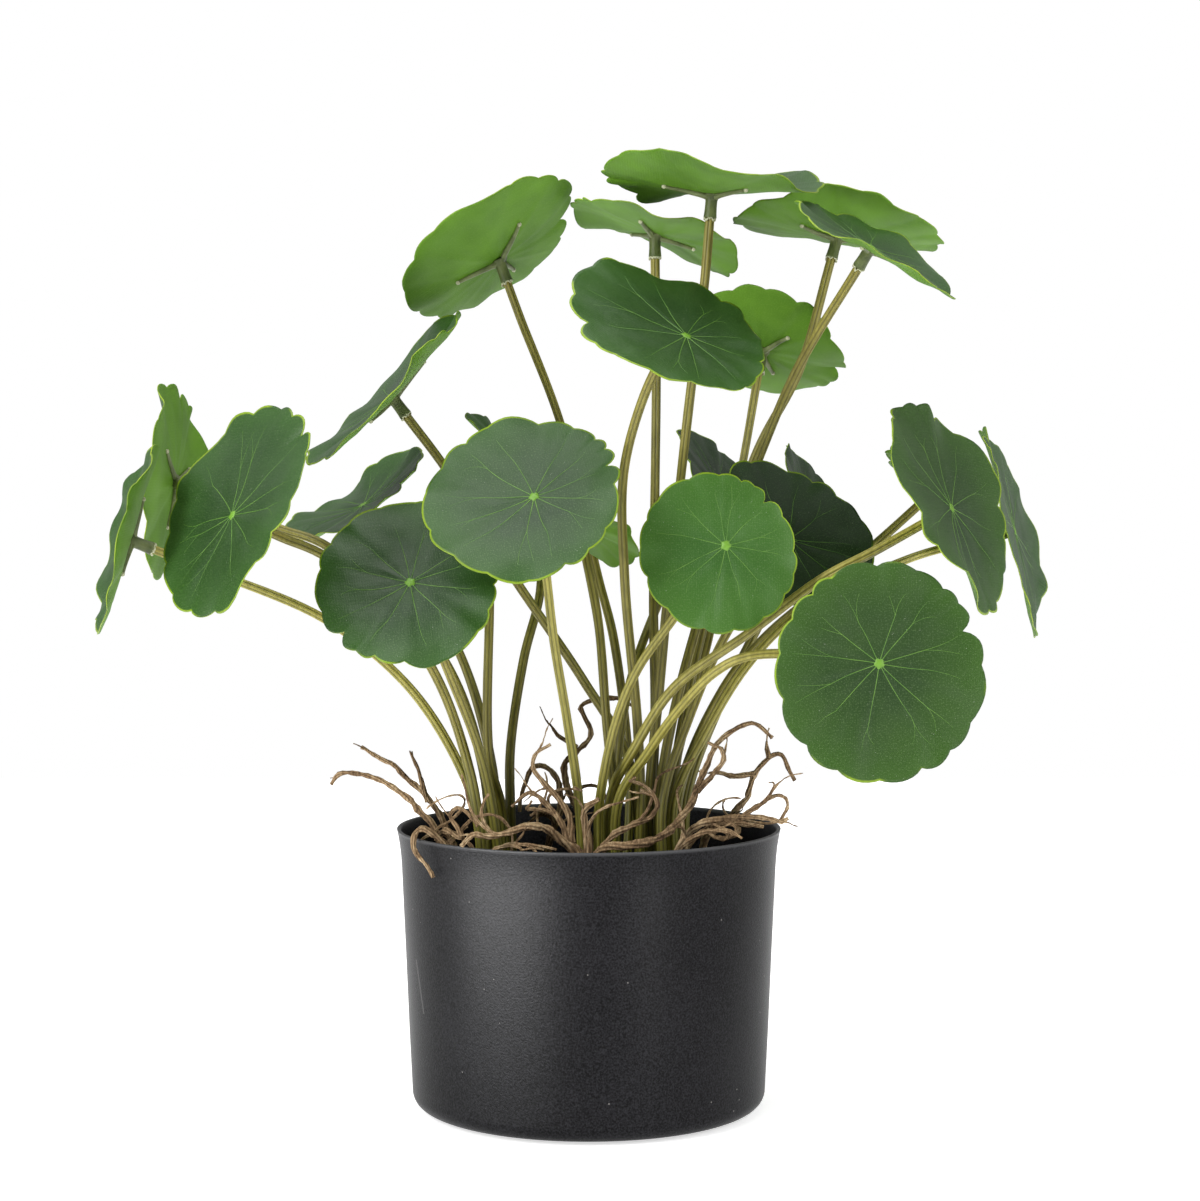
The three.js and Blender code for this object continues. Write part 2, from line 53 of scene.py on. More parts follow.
lens = bpy.data.cameras.new("camera")
lens.sensor_fit = "AUTO"
lens.sensor_width = SENSOR
lens.lens = FOCAL_LENGTH / PICTURE_HEIGHT * SENSOR
lens.clip_start = 0.01
lens.clip_end = 50.0
camera = bpy.data.objects.new("camera", lens)
camera.location = (0.0035, -0.8416, 0.1991)
camera.rotation_euler = (math.radians(90 - TILT_DOWN), 0.0, 0.0)
bpy.context.scene.collection.objects.link(camera)
bpy.context.scene.camera = camera

# ---- The plant's measures, in millimetres and degrees, as its CAD gives them ----

BLADE_THICKNESS = 0.6
COLLAR_LENGTH = 7.5
PEG_LENGTH = 2.0
STEM_RADIUS = 1.55
PEG_RADIUS = 1.48
BALLAST_TOP = 62.0
SOCKET_FLOOR = 52.3
NOTCHES = (21, 37, 49, 68, 91, 119, 134, 153, 174, 200, 228, 248, 270, 292, 309, 327, 359)
LOBE_STARTS = (*NOTCHES, NOTCHES[0] + 360)
RIB_ANGLES = (75, 190, 310)

# Shares of a blade's radius
DEEP_NOTCH = 0.89
NOTCH = 0.955
LOBE = 1.015
RIB_REACH = 0.46
THIN_FROM = 0.8

# Small bends of the blades that only the finished ones have, in millimetres
VALLEY_DEPTH, VALLEY_WIDTH = 0.26, 1.3
RIDGE_HEIGHT, RIDGE_WIDTH = 0.34, 0.7
FOLD_SPAN = 40  # degrees to each side of a vein or rib that its fold can reach


def cos(degrees):
    return math.cos(math.radians(degrees))


def sin(degrees):
    return math.sin(math.radians(degrees))


def between(angle, other):
    """The turn from one angle to another, from -180 to 180."""
    return (angle - other + 180) % 360 - 180


def hump(distance, width):
    return math.exp(-((distance / width) ** 2))


def lump(x, y, z):
    """A smooth unevenness from -1 to 1, the same in every run."""
    return noise.noise(Vector((x, y, z)))


def drift(x, y, z):
    """A smooth sideways wander, the same in every run."""
    return Vector([lump(x + 37.3 * k, y + 11.7 * k, z) for k in range(3)])


def thinning(rho):
    """How much of its thickness a blade keeps, rho of the way to its outline."""
    return 1 - 0.5 * max(0.0, (rho - THIN_FROM) / (1 - THIN_FROM))


class Leaf:
    """One leaf: its place and bend, and the stem that carries it."""

    def __init__(self, hub, size, lean, face, spin, cup, saddle, wave, foot, route):
        self.hub = Vector(hub)
        self.size = size
        self.lean = lean
        self.spin = spin
        self.cup = cup
        self.saddle = saddle
        self.wave = wave
        self.foot = foot
        self.route = [Vector(point) for point in route]
        azimuth, elevation = face
        level = cos(elevation)
        self.normal = Vector((sin(azimuth) * level, -cos(azimuth) * level, sin(elevation)))
        across = Vector((0, 0, 1)).cross(self.normal).normalized()
        upward = self.normal.cross(across)
        self.turn = Matrix((across, upward, self.normal)).transposed()
        self.down = (self.route[-1] - self.hub).normalized()
        self.chance = random.Random(int(self.hub.x * 7 + self.hub.z * 13))
        self.veins = [self.spin + 21 + 30 * i + self.chance.uniform(-9, 9) for i in range(12)]
        self.flips = [self.chance.uniform(-0.8, 0.8) for _ in NOTCHES]
        self.depths = [self.chance.uniform(0.0, 0.044) for _ in NOTCHES]
        self.seed = self.chance.uniform(0, 90)
        self.skin = None  # the finished blade, once it is made

    def outline(self, angle):
        """The scalloped outline at an angle: its radius for a mean radius of 1, the lobe's number
        and how far round the lobe that angle is."""
        own = (angle - self.spin - NOTCHES[0]) % 360 + NOTCHES[0]
        lobe = max(i for i in range(len(NOTCHES)) if LOBE_STARTS[i] <= own + 1e-6)
        share = (own - LOBE_STARTS[lobe]) / (LOBE_STARTS[lobe + 1] - LOBE_STARTS[lobe])
        by_deep = (lobe == 0 and share < 0.5) or (lobe == len(NOTCHES) - 1 and share > 0.5)
        depth = self.depths[lobe] * (1 - share) + self.depths[(lobe + 1) % len(NOTCHES)] * share
        low = DEEP_NOTCH if by_deep else NOTCH + depth
        swell = max(0.0, math.sin(math.pi * share)) ** 0.78
        return (1 - 0.03 * cos(2 * own)) * (low + (LOBE - low) * swell), lobe, share

    def surface(self, rho, angle):
        """The blade's middle plane in the leaf's own millimetres, rho of the way outwards."""
        edge, lobe, share = self.outline(angle)
        lean_share, lean_angle = self.lean
        keen = rho**3
        radius = self.size * rho * (1 + (edge - 1) * keen + lean_share * cos(angle - lean_angle))
        x, y = radius * cos(angle), radius * sin(angle)
        cone, bowl = self.cup
        saddle, along = self.saddle
        wave, count, start = self.wave
        bend = cone * rho + bowl * rho**2
        bend += saddle * rho**2 * cos(2 * (angle - along))
        bend += wave * rho**3 * cos(count * (angle - start))
        height = self.size * bend
        for vein in self.veins:
            off = between(angle, vein)
            if abs(off) < FOLD_SPAN:
                valley = VALLEY_DEPTH * hump(radius * sin(off), VALLEY_WIDTH)
                height -= valley * min(1, rho * 5) * (1 - rho * 0.6)
        for rib in RIB_ANGLES:
            off = between(angle, rib + self.spin)
            if abs(off) < FOLD_SPAN and rho < RIB_REACH:
                ridge = RIDGE_HEIGHT * hump(radius * sin(off), RIDGE_WIDTH)
                height += ridge * min(1, rho * 9) * (1 - rho / RIB_REACH)
        height += 1.3 * self.flips[lobe] * math.sin(math.pi * share) * rho**6
        height += 1.6 * rho * lump(x / 17, y / 17, self.seed)
        height += 2.4 * rho**2 * lump(2.4 * cos(angle), 2.4 * sin(angle), self.seed + 3)
        height += 0.25 * rho * lump(x / 5, y / 5, self.seed + 7)
        return Vector((x, y, height))

    def place(self, point):
        """A point of the leaf's own millimetres in the plant's frame, still in millimetres."""
        return self.hub + self.turn @ point

    def on_skin(self, point, above):
        """That point in the plant's frame, dropped on the finished blade and raised above it."""
        start = self.place(point) + self.normal * 6
        hit = self.skin.ray_cast(start * MM, -self.normal)[0]
        return (hit / MM if hit else self.place(point)) + self.normal * above


LEAVES = {
    "01": Leaf(
        hub=(-141.5, -10, 178), size=29.5, lean=(0, 0), face=(-77, 16), spin=0,
        cup=(0, 0.09), saddle=(0.07, 0), wave=(0.03, 3, 40), foot=(-33.5, -4),
        route=((-34.6, -4, 90), (-40, -4, 107), (-56, -3, 132), (-82, -2, 153), (-120, -3, 169)),
    ),
    "02": Leaf(
        hub=(-138.5, 58, 195.5), size=33.5, lean=(0, 0), face=(-96, 4), spin=90,
        cup=(0, 0.03), saddle=(0.08, 90), wave=(0.03, 3, 0), foot=(-31, 1.5),
        route=((-33, 2, 105), (-47, 6, 142), (-82, 11, 175), (-99, 20, 181), (-122, 44, 190)),
    ),
    "03": Leaf(
        hub=(-105.5, -40, 186), size=34, lean=(0.06, 76), face=(-53, 26), spin=40,
        cup=(0, 0.03), saddle=(-0.04, 76), wave=(0.03, 3, 0), foot=(-32, -10.5),
        route=((-36.3, -9, 104), (-51, -6, 142), (-80, -9, 172), (-94, -17, 179)),
    ),
    "04": Leaf(
        hub=(-62, 8, 222.7), size=32.5, lean=(0, 0), face=(-78, 44), spin=0,
        cup=(0, 0.11), saddle=(-0.01, 0), wave=(0.03, 3, 20), foot=(16.5, 4),
        route=((12.6, 5, 108), (-1.5, 6, 133), (-24.5, 7, 167), (-45, 8, 200)),
    ),
    "05": Leaf(
        hub=(-74, 42, 188), size=25, lean=(0, 0), face=(-63, 57), spin=0,
        cup=(0, 0.14), saddle=(0.08, 71), wave=(0.03, 3, 0), foot=(-28.5, 7),
        route=((-30.5, 8, 105), (-42, 16, 143), (-61, 28, 169)),
    ),
    "06": Leaf(
        hub=(-16, -42, 191.5), size=30.5, lean=(0.12, 185), face=(-11, 41), spin=5,
        cup=(0, 0.03), saddle=(0.03, 45), wave=(0.02, 3, 0), foot=(-1.5, -17),
        route=((-3, -17, 98), (-6.5, -20, 123), (-10.5, -25, 148), (-13, -31, 171)),
    ),
    "07": Leaf(
        hub=(-53, -38, 166), size=28, lean=(0.04, 180), face=(-6, 34), spin=204,
        cup=(0, 0.03), saddle=(0.02, 0), wave=(0.02, 3, 0), foot=(-26.5, -9),
        route=((-32, -10, 106), (-43, -17, 138), (-50, -27, 156)),
    ),
    "08": Leaf(
        hub=(-29, 30, 267), size=32.5, lean=(0.16, 27), face=(-122.5, 50), spin=120,
        cup=(0, 0.09), saddle=(0.01, 27), wave=(0.03, 3, 0), foot=(11, 9),
        route=((13, 12, 99), (8, 18, 145), (3, 22, 165), (-9, 26, 214), (-22, 29, 248)),
    ),
    "09": Leaf(
        hub=(21, 25, 275), size=29, lean=(0, 0), face=(112, 70), spin=60,
        cup=(0, 0.01), saddle=(-0.06, 90), wave=(0.06, 3, 210), foot=(20, 8),
        route=((20, 9, 95), (21, 12, 122), (20.5, 16, 158), (21, 20, 190), (21.5, 24, 231)),
    ),
    "10": Leaf(
        hub=(38, -5, 284.5), size=33.5, lean=(0, 0), face=(90, 87.5), spin=30,
        cup=(0.1, 0.06), saddle=(0.13, 135), wave=(0.03, 5, 0), foot=(20, 0),
        route=((19, 1, 96), (22, 0, 131), (24.5, -2, 159), (28.5, -5, 197),
               (32, -6, 228), (35.5, -6, 255)),
    ),
    "11": Leaf(
        hub=(29, -40, 239), size=31.7, lean=(0.2, 139), face=(34.5, 52.5), spin=150,
        cup=(0, 0.035), saddle=(0.01, 50), wave=(0.03, 3, 0), foot=(15, -9),
        route=((16, -10, 97), (15, -12, 122), (11, -18, 167), (11, -24, 201), (20, -32, 229)),
    ),
    "12": Leaf(
        hub=(57, 51, 239), size=28.5, lean=(0, 0), face=(153, 57), spin=200,
        cup=(0, 0.08), saddle=(0.05, 90), wave=(0.03, 3, 0), foot=(26, 11),
        route=((25.5, 12, 95), (39, 22, 149), (50, 38, 202)),
    ),
    "13": Leaf(
        hub=(80, 32, 274.5), size=34, lean=(0, 0), face=(132, 80), spin=10,
        cup=(0, 0.13), saddle=(0.088, 138), wave=(0.02, 3, 0), foot=(26, 4.5),
        route=((26, 6, 95), (36, 14, 149), (53, 21, 204), (67, 23, 231)),
    ),
    "14": Leaf(
        hub=(85, -25, 266.5), size=27.8, lean=(0.06, 293), face=(63, 58), spin=240,
        cup=(0, 0.03), saddle=(0.05, 20), wave=(0.05, 3, 0), foot=(23, -4),
        route=((22, -3, 97), (34, 5, 151), (54, 12, 204), (65, 2, 231)),
    ),
    "15": Leaf(
        hub=(109.5, -26, 188), size=34, lean=(0, 0), face=(61, 21.5), spin=50,
        cup=(0, 0.03), saddle=(-0.09, 120), wave=(0.03, 3, 0), foot=(6.5, -9.5),
        route=((7, -10, 99), (14, -16, 114), (26, -20, 133), (48, -28, 150),
               (70, -34, 167), (85, -35, 175)),
    ),
    "16": Leaf(
        hub=(139.5, 45, 179.5), size=36.5, lean=(0, 0), face=(76, 14.5), spin=90,
        cup=(0, 0.01), saddle=(0.07, 0), wave=(0.03, 3, 0), foot=(28, -5),
        route=((26.5, -3, 96), (36, -3, 117), (49, 0, 138), (65, 4, 154), (102, 22, 171)),
    ),
    "17": Leaf(
        hub=(112.5, 24, 194.5), size=20.5, lean=(0, 0), face=(122, 49), spin=20,
        cup=(0, 0.03), saddle=(0.03, 0), wave=(0.03, 3, 0), foot=(31, 1),
        route=((28, 2, 96), (42, 7, 130), (56, 11, 147), (78, 13, 165), (92, 15, 177)),
    ),
    "18": Leaf(
        hub=(85, -55, 143), size=31.3, lean=(0.08, 270), face=(2, 5), spin=0,
        cup=(0, 0.03), saddle=(0.02, 0), wave=(0.02, 3, 0), foot=(9.5, -14),
        route=((9, -14, 97), (18, -20, 113), (28, -28, 128), (38, -34, 139),
               (48, -37, 144), (75, -38, 144)),
    ),
    "19": Leaf(
        hub=(41, -38, 177), size=23.5, lean=(0.15, 223), face=(-4, 10), spin=28,
        cup=(0, 0.03), saddle=(0.02, 0), wave=(0.02, 3, 0), foot=(3.5, -14),
        route=((3, -14, 92), (4, -16, 102), (8.5, -19, 123), (15, -22, 139), (26, -26, 155)),
    ),
    "20": Leaf(
        hub=(62, -6, 178), size=28.5, lean=(0.05, 90), face=(33, 36), spin=100,
        cup=(0, 0.06), saddle=(0.04, 0), wave=(0.05, 4, 0), foot=(24, -10),
        route=((23, -8, 97), (31, -6, 122), (42, -3, 147)),
    ),
    "21": Leaf(
        hub=(44, 58, 192), size=24.5, lean=(0, 0), face=(66, 30), spin=0,
        cup=(0, 0.05), saddle=(0.05, 0), wave=(0.05, 3, 0), foot=(8.5, -2),
        route=((8, -1, 96), (12, 3, 129), (24, 30, 160), (36, 49, 180)),
    ),
    "22": Leaf(
        hub=(-3, 1, 183), size=21, lean=(0, 0), face=(127, 54), spin=0,
        cup=(0, 0.03), saddle=(0.03, 0), wave=(0.03, 3, 0), foot=(9, -7),
        route=((8, -6, 97), (5.5, -6, 122), (3, -3, 152)),
    ),
    "23": Leaf(
        hub=(-24, 16, 203), size=20, lean=(0, 0), face=(75, 45), spin=0,
        cup=(0, 0.05), saddle=(0.03, 0), wave=(0.03, 3, 0), foot=(-25.5, 0.5),
        route=((-27, 1, 92), (-31, -4, 110), (-31, -2, 152), (-30, 3, 180)),
    ),
    "24": Leaf(
        hub=(-16.5, 55, 190.5), size=23.5, lean=(0, 0), face=(170, 50), spin=0,
        cup=(0, 0.05), saddle=(0.03, 0), wave=(0.03, 3, 0), foot=(-24, 11),
        route=((-25, 11.5, 94), (-25, 15, 111), (-21, 26, 139), (-16, 38, 160)),
    ),
    "25": Leaf(
        hub=(72, 38, 185.5), size=23, lean=(0, 0), face=(70, 18), spin=0,
        cup=(0, 0.05), saddle=(0.03, 0), wave=(0.03, 3, 0), foot=(31, 8),
        route=((31, 9, 96), (44, 15, 130), (60, 27, 160)),
    ),
}

# Each strand is its thickest radius and the points that it passes.
ROOTS = {
    "root_01": (
        (1.1, (
            (-45, -24, 52.3), (-45, -24, 63), (-44, -24, 80), (-47, -25, 91), (-52, -24, 96.5),
            (-56, -22, 101), (-61, -20, 104), (-71, -18, 106), (-76, -18, 106), (-78.5, -18, 103),
        )),
        (0.8, (
            (-46, -24.5, 87), (-43, -30, 90.5), (-38.5, -37, 89.5), (-40, -36.5, 93),
            (-41.5, -35, 96.5), (-39, -35, 98.5), (-36, -36, 97), (-32.5, -38, 92.5),
        )),
    ),
    "root_02": (
        (1.1, (
            (-42, 8, 52.3), (-42, 8, 78), (-46.5, 6.5, 89.5), (-51, 6, 96.5), (-56, 8, 101.5),
            (-61, 9, 106), (-67.5, 12, 108), (-72, 14, 111),
        )),
        (0.7, ((-51, 6, 95), (-53, 5, 103), (-57, 5, 111))),
    ),
    "root_03": (
        (1.1, (
            (-33, -31, 52.3), (-33, -31, 63), (-34, -32, 72), (-41, -33.5, 84),
            (-46.5, -32.5, 89.8), (-50.5, -32, 91.6), (-52.6, -33, 90.2), (-52.4, -34.5, 87),
            (-49.6, -36.5, 82.5), (-47, -38.5, 77.5),
        )),
        (0.8, ((-33.5, -31, 70), (-30, -36, 84), (-24, -40, 88), (-16, -42, 87.5), (-9, -41, 86))),
    ),
    "root_04": (
        (1.1, (
            (-13, 13, 52.3), (-13, 13, 78), (-9, 12, 93), (-10, 12, 101), (-14, 12, 106.5),
            (-18.5, 12, 105.5), (-21, 11, 98), (-21.5, 10, 91),
        )),
        (0.8, ((-13, 13, 80), (-11, 8, 88), (-15, 5, 91), (-20, 4.5, 88.5))),
    ),
    "root_05": (
        (1.1, (
            (0, 30, 52.3), (0, 30, 64), (0, 30, 80), (-7, 28, 97), (-8, 28, 105), (0, 28, 114),
            (-2, 28, 123), (8, 29, 126), (16, 30, 122),
        )),
        (0.7, ((-4, 28, 110), (-9, 26, 113), (-13, 23, 118))),
    ),
    "root_06": (
        (1.1, (
            (37, 20, 52.3), (37, 20, 64), (37, 20, 80), (44, 15, 88), (47, 13, 91.5),
            (50, 13, 95.5), (52.5, 13, 103.5), (57, 13, 108.5), (61, 13, 108.5), (66, 15, 100.5),
        )),
        (0.8, ((52.5, 13, 103), (46.5, 12, 102), (41.5, 11, 103.5), (37.5, 10, 103.5))),
        (0.7, ((57, 13, 108), (56.5, 13, 113.5))),
    ),
    "root_07": (
        (1.2, (
            (25.5, -27, 52.3), (25.5, -27, 64), (25.5, -27, 78), (30, -29.5, 89.5), (33, -30, 92),
            (40.5, -29, 94.5), (48, -28, 95.5), (53.5, -26, 94), (58.5, -24, 92), (61, -24, 93),
        )),
        (0.8, (
            (27, -27, 80), (29, -34, 87), (33, -37, 90.5), (38, -38, 92), (42.5, -40, 92),
            (46.5, -41.5, 89.6),
        )),
        (0.9, ((25.5, -27, 78), (31, -25, 87), (38, -24, 91), (46, -23, 92), (53, -21, 91))),
        (0.7, ((47, -28, 95), (53, -26, 99), (57, -25, 104))),
    ),
    "root_08": (
        (1.5, ((0, -30, 52.3), (0, -30, 84), (-1, -31, 97), (3, -33, 101))),
        (1.2, (
            (-0.5, -30, 80), (-5, -32, 85.5), (-9.5, -35, 89), (-14, -38, 93), (-18.5, -41, 93.5),
            (-23, -43, 91.5), (-29, -45.5, 90.5), (-34, -48, 91.3), (-38, -50, 88.5),
        )),
        (0.9, (
            (-0.5, -30, 82), (-6, -29.5, 88), (-8.5, -29, 93), (-11.5, -27, 97.5),
            (-16.5, -26, 101.5), (-20, -25, 101), (-23.5, -24, 97.5),
        )),
        (0.9, (
            (-5, -29.5, 87), (-6.2, -28, 95.5), (-9.5, -27, 101), (-13, -26, 104),
            (-17, -25, 108.5), (-16.5, -25, 112.5), (-11.5, -25, 116),
        )),
        (0.9, (
            (0, -30, 80), (4.5, -30, 86), (7.5, -31, 90), (13.5, -31, 93), (19.5, -30, 95),
            (21.5, -30, 98), (20, -30, 101.5), (15.5, -30, 103.5),
        )),
        (1.1, (
            (0, -30, 77), (2.5, -34, 84), (6.5, -38, 87), (13.5, -39.5, 88), (20.5, -38.5, 89),
            (25.5, -36, 91.5), (29.5, -31, 96), (33, -25, 102.5), (36, -20, 108.5),
            (39, -18, 114), (43.5, -16, 119), (50, -15, 122), (56.5, -14, 117),
        )),
        (0.8, (
            (33, -25, 102), (38, -23, 107), (41.5, -22, 111), (41, -21.5, 114.5),
            (36.5, -21, 116.5),
        )),
    ),
}

# ---- Materials ----

WHITE = (1.0, 1.0, 1.0, 1.0)


def solid(colour):
    """A colour of three shares as a node takes it; a socket stays as it is."""
    return (*colour, 1.0) if isinstance(colour, tuple) else colour


class Finish:
    """A material being put together from nodes."""

    def __init__(self, name):
        self.material = bpy.data.materials.new(name)
        self.material.use_nodes = True
        self.tree = self.material.node_tree
        self.tree.nodes.clear()

    def add(self, kind, values=None, **settings):
        """A node with its settings, and with its inputs set to values or linked to sockets."""
        node = self.tree.nodes.new(kind)
        for key, value in settings.items():
            setattr(node, key, value)
        for key, value in (values or {}).items():
            if isinstance(value, bpy.types.NodeSocket):
                self.tree.links.new(value, node.inputs[key])
            else:
                node.inputs[key].default_value = value
        return node

    def object_place(self):
        return self.add("ShaderNodeTexCoord").outputs["Object"]

    def flat_place(self):
        """Where a point lies on the unbent blade."""
        return self.add("ShaderNodeUVMap").outputs["UV"]

    def attribute(self, name):
        return self.add("ShaderNodeAttribute", attribute_name=name).outputs["Fac"]

    def drawn_out(self, place, share):
        """A place with its height squeezed to a share, which draws patterns out upwards."""
        values = {"Vector": place, "Scale": (1.0, 1.0, share)}
        return self.add("ShaderNodeMapping", values).outputs["Vector"]

    def maths(self, operation, first, second=0.0):
        return self.add("ShaderNodeMath", {0: first, 1: second}, operation=operation).outputs[0]

    def times(self, first, second):
        return self.maths("MULTIPLY", first, second)

    def plus(self, first, second):
        return self.maths("ADD", first, second)

    def rise(self, value, low, high):
        """From 0 where value is low or less to 1 where it is high or more."""
        values = {"Value": value, "From Min": low, "From Max": high}
        return self.add("ShaderNodeMapRange", values).outputs["Result"]

    def cloud(self, place, scale, detail=3.0, roughness=0.55):
        values = {"Vector": place, "Scale": scale, "Detail": detail, "Roughness": roughness}
        return self.add("ShaderNodeTexNoise", values).outputs["Fac"]

    def specks(self, place, scale, size):
        """Round specks, at most one to a cell."""
        cells = self.add("ShaderNodeTexVoronoi", {"Vector": place, "Scale": scale})
        return self.maths("LESS_THAN", cells.outputs["Distance"], size)

    def weave(self, flat):
        """The fine woven grain that is pressed into the blades."""
        values = {"Vector": flat, "Scale": 50.0, "Distortion": 1.5, "Detail": 2.0}
        rows, columns = (
            self.add("ShaderNodeTexWave", values, bands_direction=direction).outputs["Fac"]
            for direction in "XY"
        )
        return self.times(rows, columns)

    def ramp(self, factor, *stops):
        """Colours that follow each other along a factor, as (position, colour)."""
        node = self.add("ShaderNodeValToRGB", {"Fac": factor})
        bands = node.color_ramp.elements
        while len(bands) < len(stops):
            bands.new(0.5)
        for band, (position, colour) in zip(bands, stops):
            band.position = position
            band.color = solid(colour)
        return node.outputs["Color"]

    def mix(self, factor, first, second):
        values = {0: factor, 6: solid(first), 7: solid(second)}
        return self.add("ShaderNodeMix", values, data_type="RGBA").outputs[2]

    def bump(self, height, distance, strength, normal=None):
        values = {"Height": height, "Distance": distance, "Strength": strength}
        if normal is not None:
            values["Normal"] = normal
        return self.add("ShaderNodeBump", values).outputs["Normal"]

    def close(self, colour, roughness, specular=0.5, normal=None, glow=0.0):
        """The shader that the nodes lead to, and with it the finished material."""
        values = {
            "Base Color": solid(colour),
            "Roughness": roughness,
            "Specular IOR Level": specular,
            "Emission Color": WHITE,
            "Emission Strength": glow,
        }
        if normal is not None:
            values["Normal"] = normal
        shader = self.add("ShaderNodeBsdfPrincipled", values)
        self.add("ShaderNodeOutputMaterial", {"Surface": shader.outputs["BSDF"]})
        return self.material


def leaf_top_material(name, deep, fresh, margin, roughness):
    """A blade's upper side: deep by the hub, fresher towards its margin, with a pale woven grain,
    flecks, dust, and a bright line along parts of its rim."""
    look = Finish(name)
    flat = look.flat_place()
    place = look.object_place()
    fullness = look.attribute("fullness")
    cloud = look.cloud(place, 55.0, 4.0, 0.6)
    base = look.ramp(cloud, (0.3, deep), (0.72, fresh))
    outward = look.times(look.maths("POWER", fullness, 2.2), 0.75)
    body = look.mix(outward, base, margin)
    grain = look.weave(flat)
    lit = look.mix(look.times(grain, 0.2), body, tuple(c * 1.7 + 0.02 for c in fresh))
    fleck = look.rise(look.cloud(flat, 170.0, 2.0, 0.8), 0.54, 0.66)
    flecked = look.mix(look.times(fleck, 0.24), lit, (0.17, 0.26, 0.11))
    dust = look.times(look.specks(flat, 30.0, 0.04), 0.4)
    dusty = look.mix(dust, flecked, (0.5, 0.55, 0.45))
    rim = look.rise(fullness, 0.978, 0.99)
    stretch = look.rise(look.cloud(place, 45.0, 1.0), 0.42, 0.5)
    bright = look.times(look.times(rim, stretch), 0.85)
    rimmed = look.mix(bright, dusty, (0.22, 0.33, 0.012))
    rough = look.plus(look.times(cloud, 0.16), roughness - 0.08)
    folds = look.bump(look.cloud(flat, 6.0, 1.0), 0.0018, 0.6)
    soft = look.bump(look.cloud(place, 420.0, 2.0), 0.0002, 0.35, folds)
    return look.close(rimmed, rough, 0.28, look.bump(grain, 0.00008, 0.5, soft))


def leaf_back_material():
    """A blade's underside: lighter green, with the same grain and paler flecks."""
    look = Finish("leaf_back")
    flat = look.flat_place()
    cloud = look.cloud(look.object_place(), 48.0)
    base = look.ramp(cloud, (0.3, (0.063, 0.16, 0.007)), (0.7, (0.115, 0.26, 0.017)))
    grain = look.weave(flat)
    fleck = look.rise(look.cloud(flat, 150.0, 2.0, 0.8), 0.5, 0.66)
    pale = look.plus(look.times(grain, 0.16), look.times(fleck, 0.22))
    lit = look.mix(pale, base, (0.19, 0.36, 0.05))
    return look.close(lit, 0.6, 0.2, look.bump(grain, 0.00008, 0.5))


def plain_finish(name, low, high, scale, roughness, bump=0.0001, specular=0.4):
    """A moulded finish whose colour drifts between two tones, with a fine grain."""
    look = Finish(name)
    place = look.object_place()
    cloud = look.cloud(place, scale)
    base = look.ramp(cloud, (0.32, low), (0.68, high))
    rough = look.plus(look.times(cloud, 0.2), roughness - 0.1)
    grain = look.bump(look.cloud(place, scale * 6, 2.0), bump, 0.5)
    return look.close(base, rough, specular, grain)


def stem_material(name, foot, low, high, groove_shade):
    """Olive plastic: darker and greener at its foot, paler along the streaks of its ridges, and
    with painted shade darkening its grooves.
    """
    look = Finish(name)
    place = look.object_place()
    streak = look.cloud(look.drawn_out(place, 0.12), 900.0, 3.0, 0.6)
    tone = look.plus(look.times(streak, 0.6), look.times(look.cloud(place, 30.0), 0.5))
    body = look.ramp(tone, (0.35, low), (0.72, high))
    height = look.add("ShaderNodeSeparateXYZ", {"Vector": place}).outputs["Z"]
    whole = look.mix(look.rise(height, 0.07, 0.125), foot, body)
    # Painted shade: the grooves between the ridges are darkened by their depth.
    base = look.mix(look.times(look.attribute("groove_shade"), 0.75), whole, groove_shade)
    return look.close(base, 0.46, 0.45, look.bump(streak, 0.0002, 0.5))


def root_material():
    """Dry tan fibre, with painted shade darkening its grooves."""
    look = Finish("root_fibre")
    place = look.object_place()
    fibre = look.cloud(look.drawn_out(place, 0.35), 1100.0, 4.0, 0.65)
    tone = look.plus(look.times(fibre, 0.55), look.times(look.cloud(place, 90.0), 0.5))
    dark, tan, pale = (0.06, 0.034, 0.017), (0.27, 0.175, 0.092), (0.56, 0.42, 0.25)
    fibres = look.ramp(tone, (0.38, dark), (0.52, tan), (0.68, pale))
    # Painted shade: near-black in the grooves, by their depth.
    groove_shade = look.times(look.attribute("groove_shade"), 0.65)
    base = look.mix(groove_shade, fibres, (0.035, 0.02, 0.011))
    return look.close(base, 0.85, 0.2, look.bump(fibre, 0.0005, 0.8))


def pot_material():
    """Charcoal moulded plastic: a fine pebbled skin, pale dust, one faint scuff and a painted
    highlight along the lip.
    """
    look = Finish("pot_plastic")
    place = look.object_place()
    x, y, z = look.add("ShaderNodeSeparateXYZ", {"Vector": place}).outputs
    pebble = look.cloud(place, 1700.0, 2.0, 0.6)
    tone = look.plus(look.times(pebble, 0.8), look.times(look.cloud(place, 26.0), 0.2))
    base = look.ramp(tone, (0.38, (0.0006, 0.0006, 0.0008)), (0.66, (0.015, 0.0148, 0.017)))
    patch = look.maths("GREATER_THAN", look.cloud(place, 34.0, 2.0), 0.57)
    dust = look.times(look.times(look.specks(place, 210.0, 0.055), patch), 0.3)
    dusty = look.mix(dust, base, (0.42, 0.4, 0.38))
    slanted = look.plus(look.plus(look.times(z, 0.16), x), 0.0447)
    scuff = look.maths("LESS_THAN", look.maths("ABSOLUTE", slanted), 0.00022)
    for side, limit, axis in (
        ("GREATER_THAN", 0.034, z), ("LESS_THAN", 0.05, z), ("LESS_THAN", -0.01, y),
    ):
        scuff = look.times(scuff, look.maths(side, axis, limit))
    scuffed = look.mix(look.times(scuff, 0.1), dusty, (0.4, 0.39, 0.38))
    # A lighter band along the top of the lip: a painted highlight, where the rounded rim would
    # catch the light.
    lip = look.times(look.rise(z, 0.0868, 0.0877), 0.7)
    lip_highlighted = look.mix(lip, scuffed, (0.075, 0.075, 0.078))
    return look.close(lip_highlighted, 0.38, 0.07, look.bump(pebble, 0.0001, 0.8))


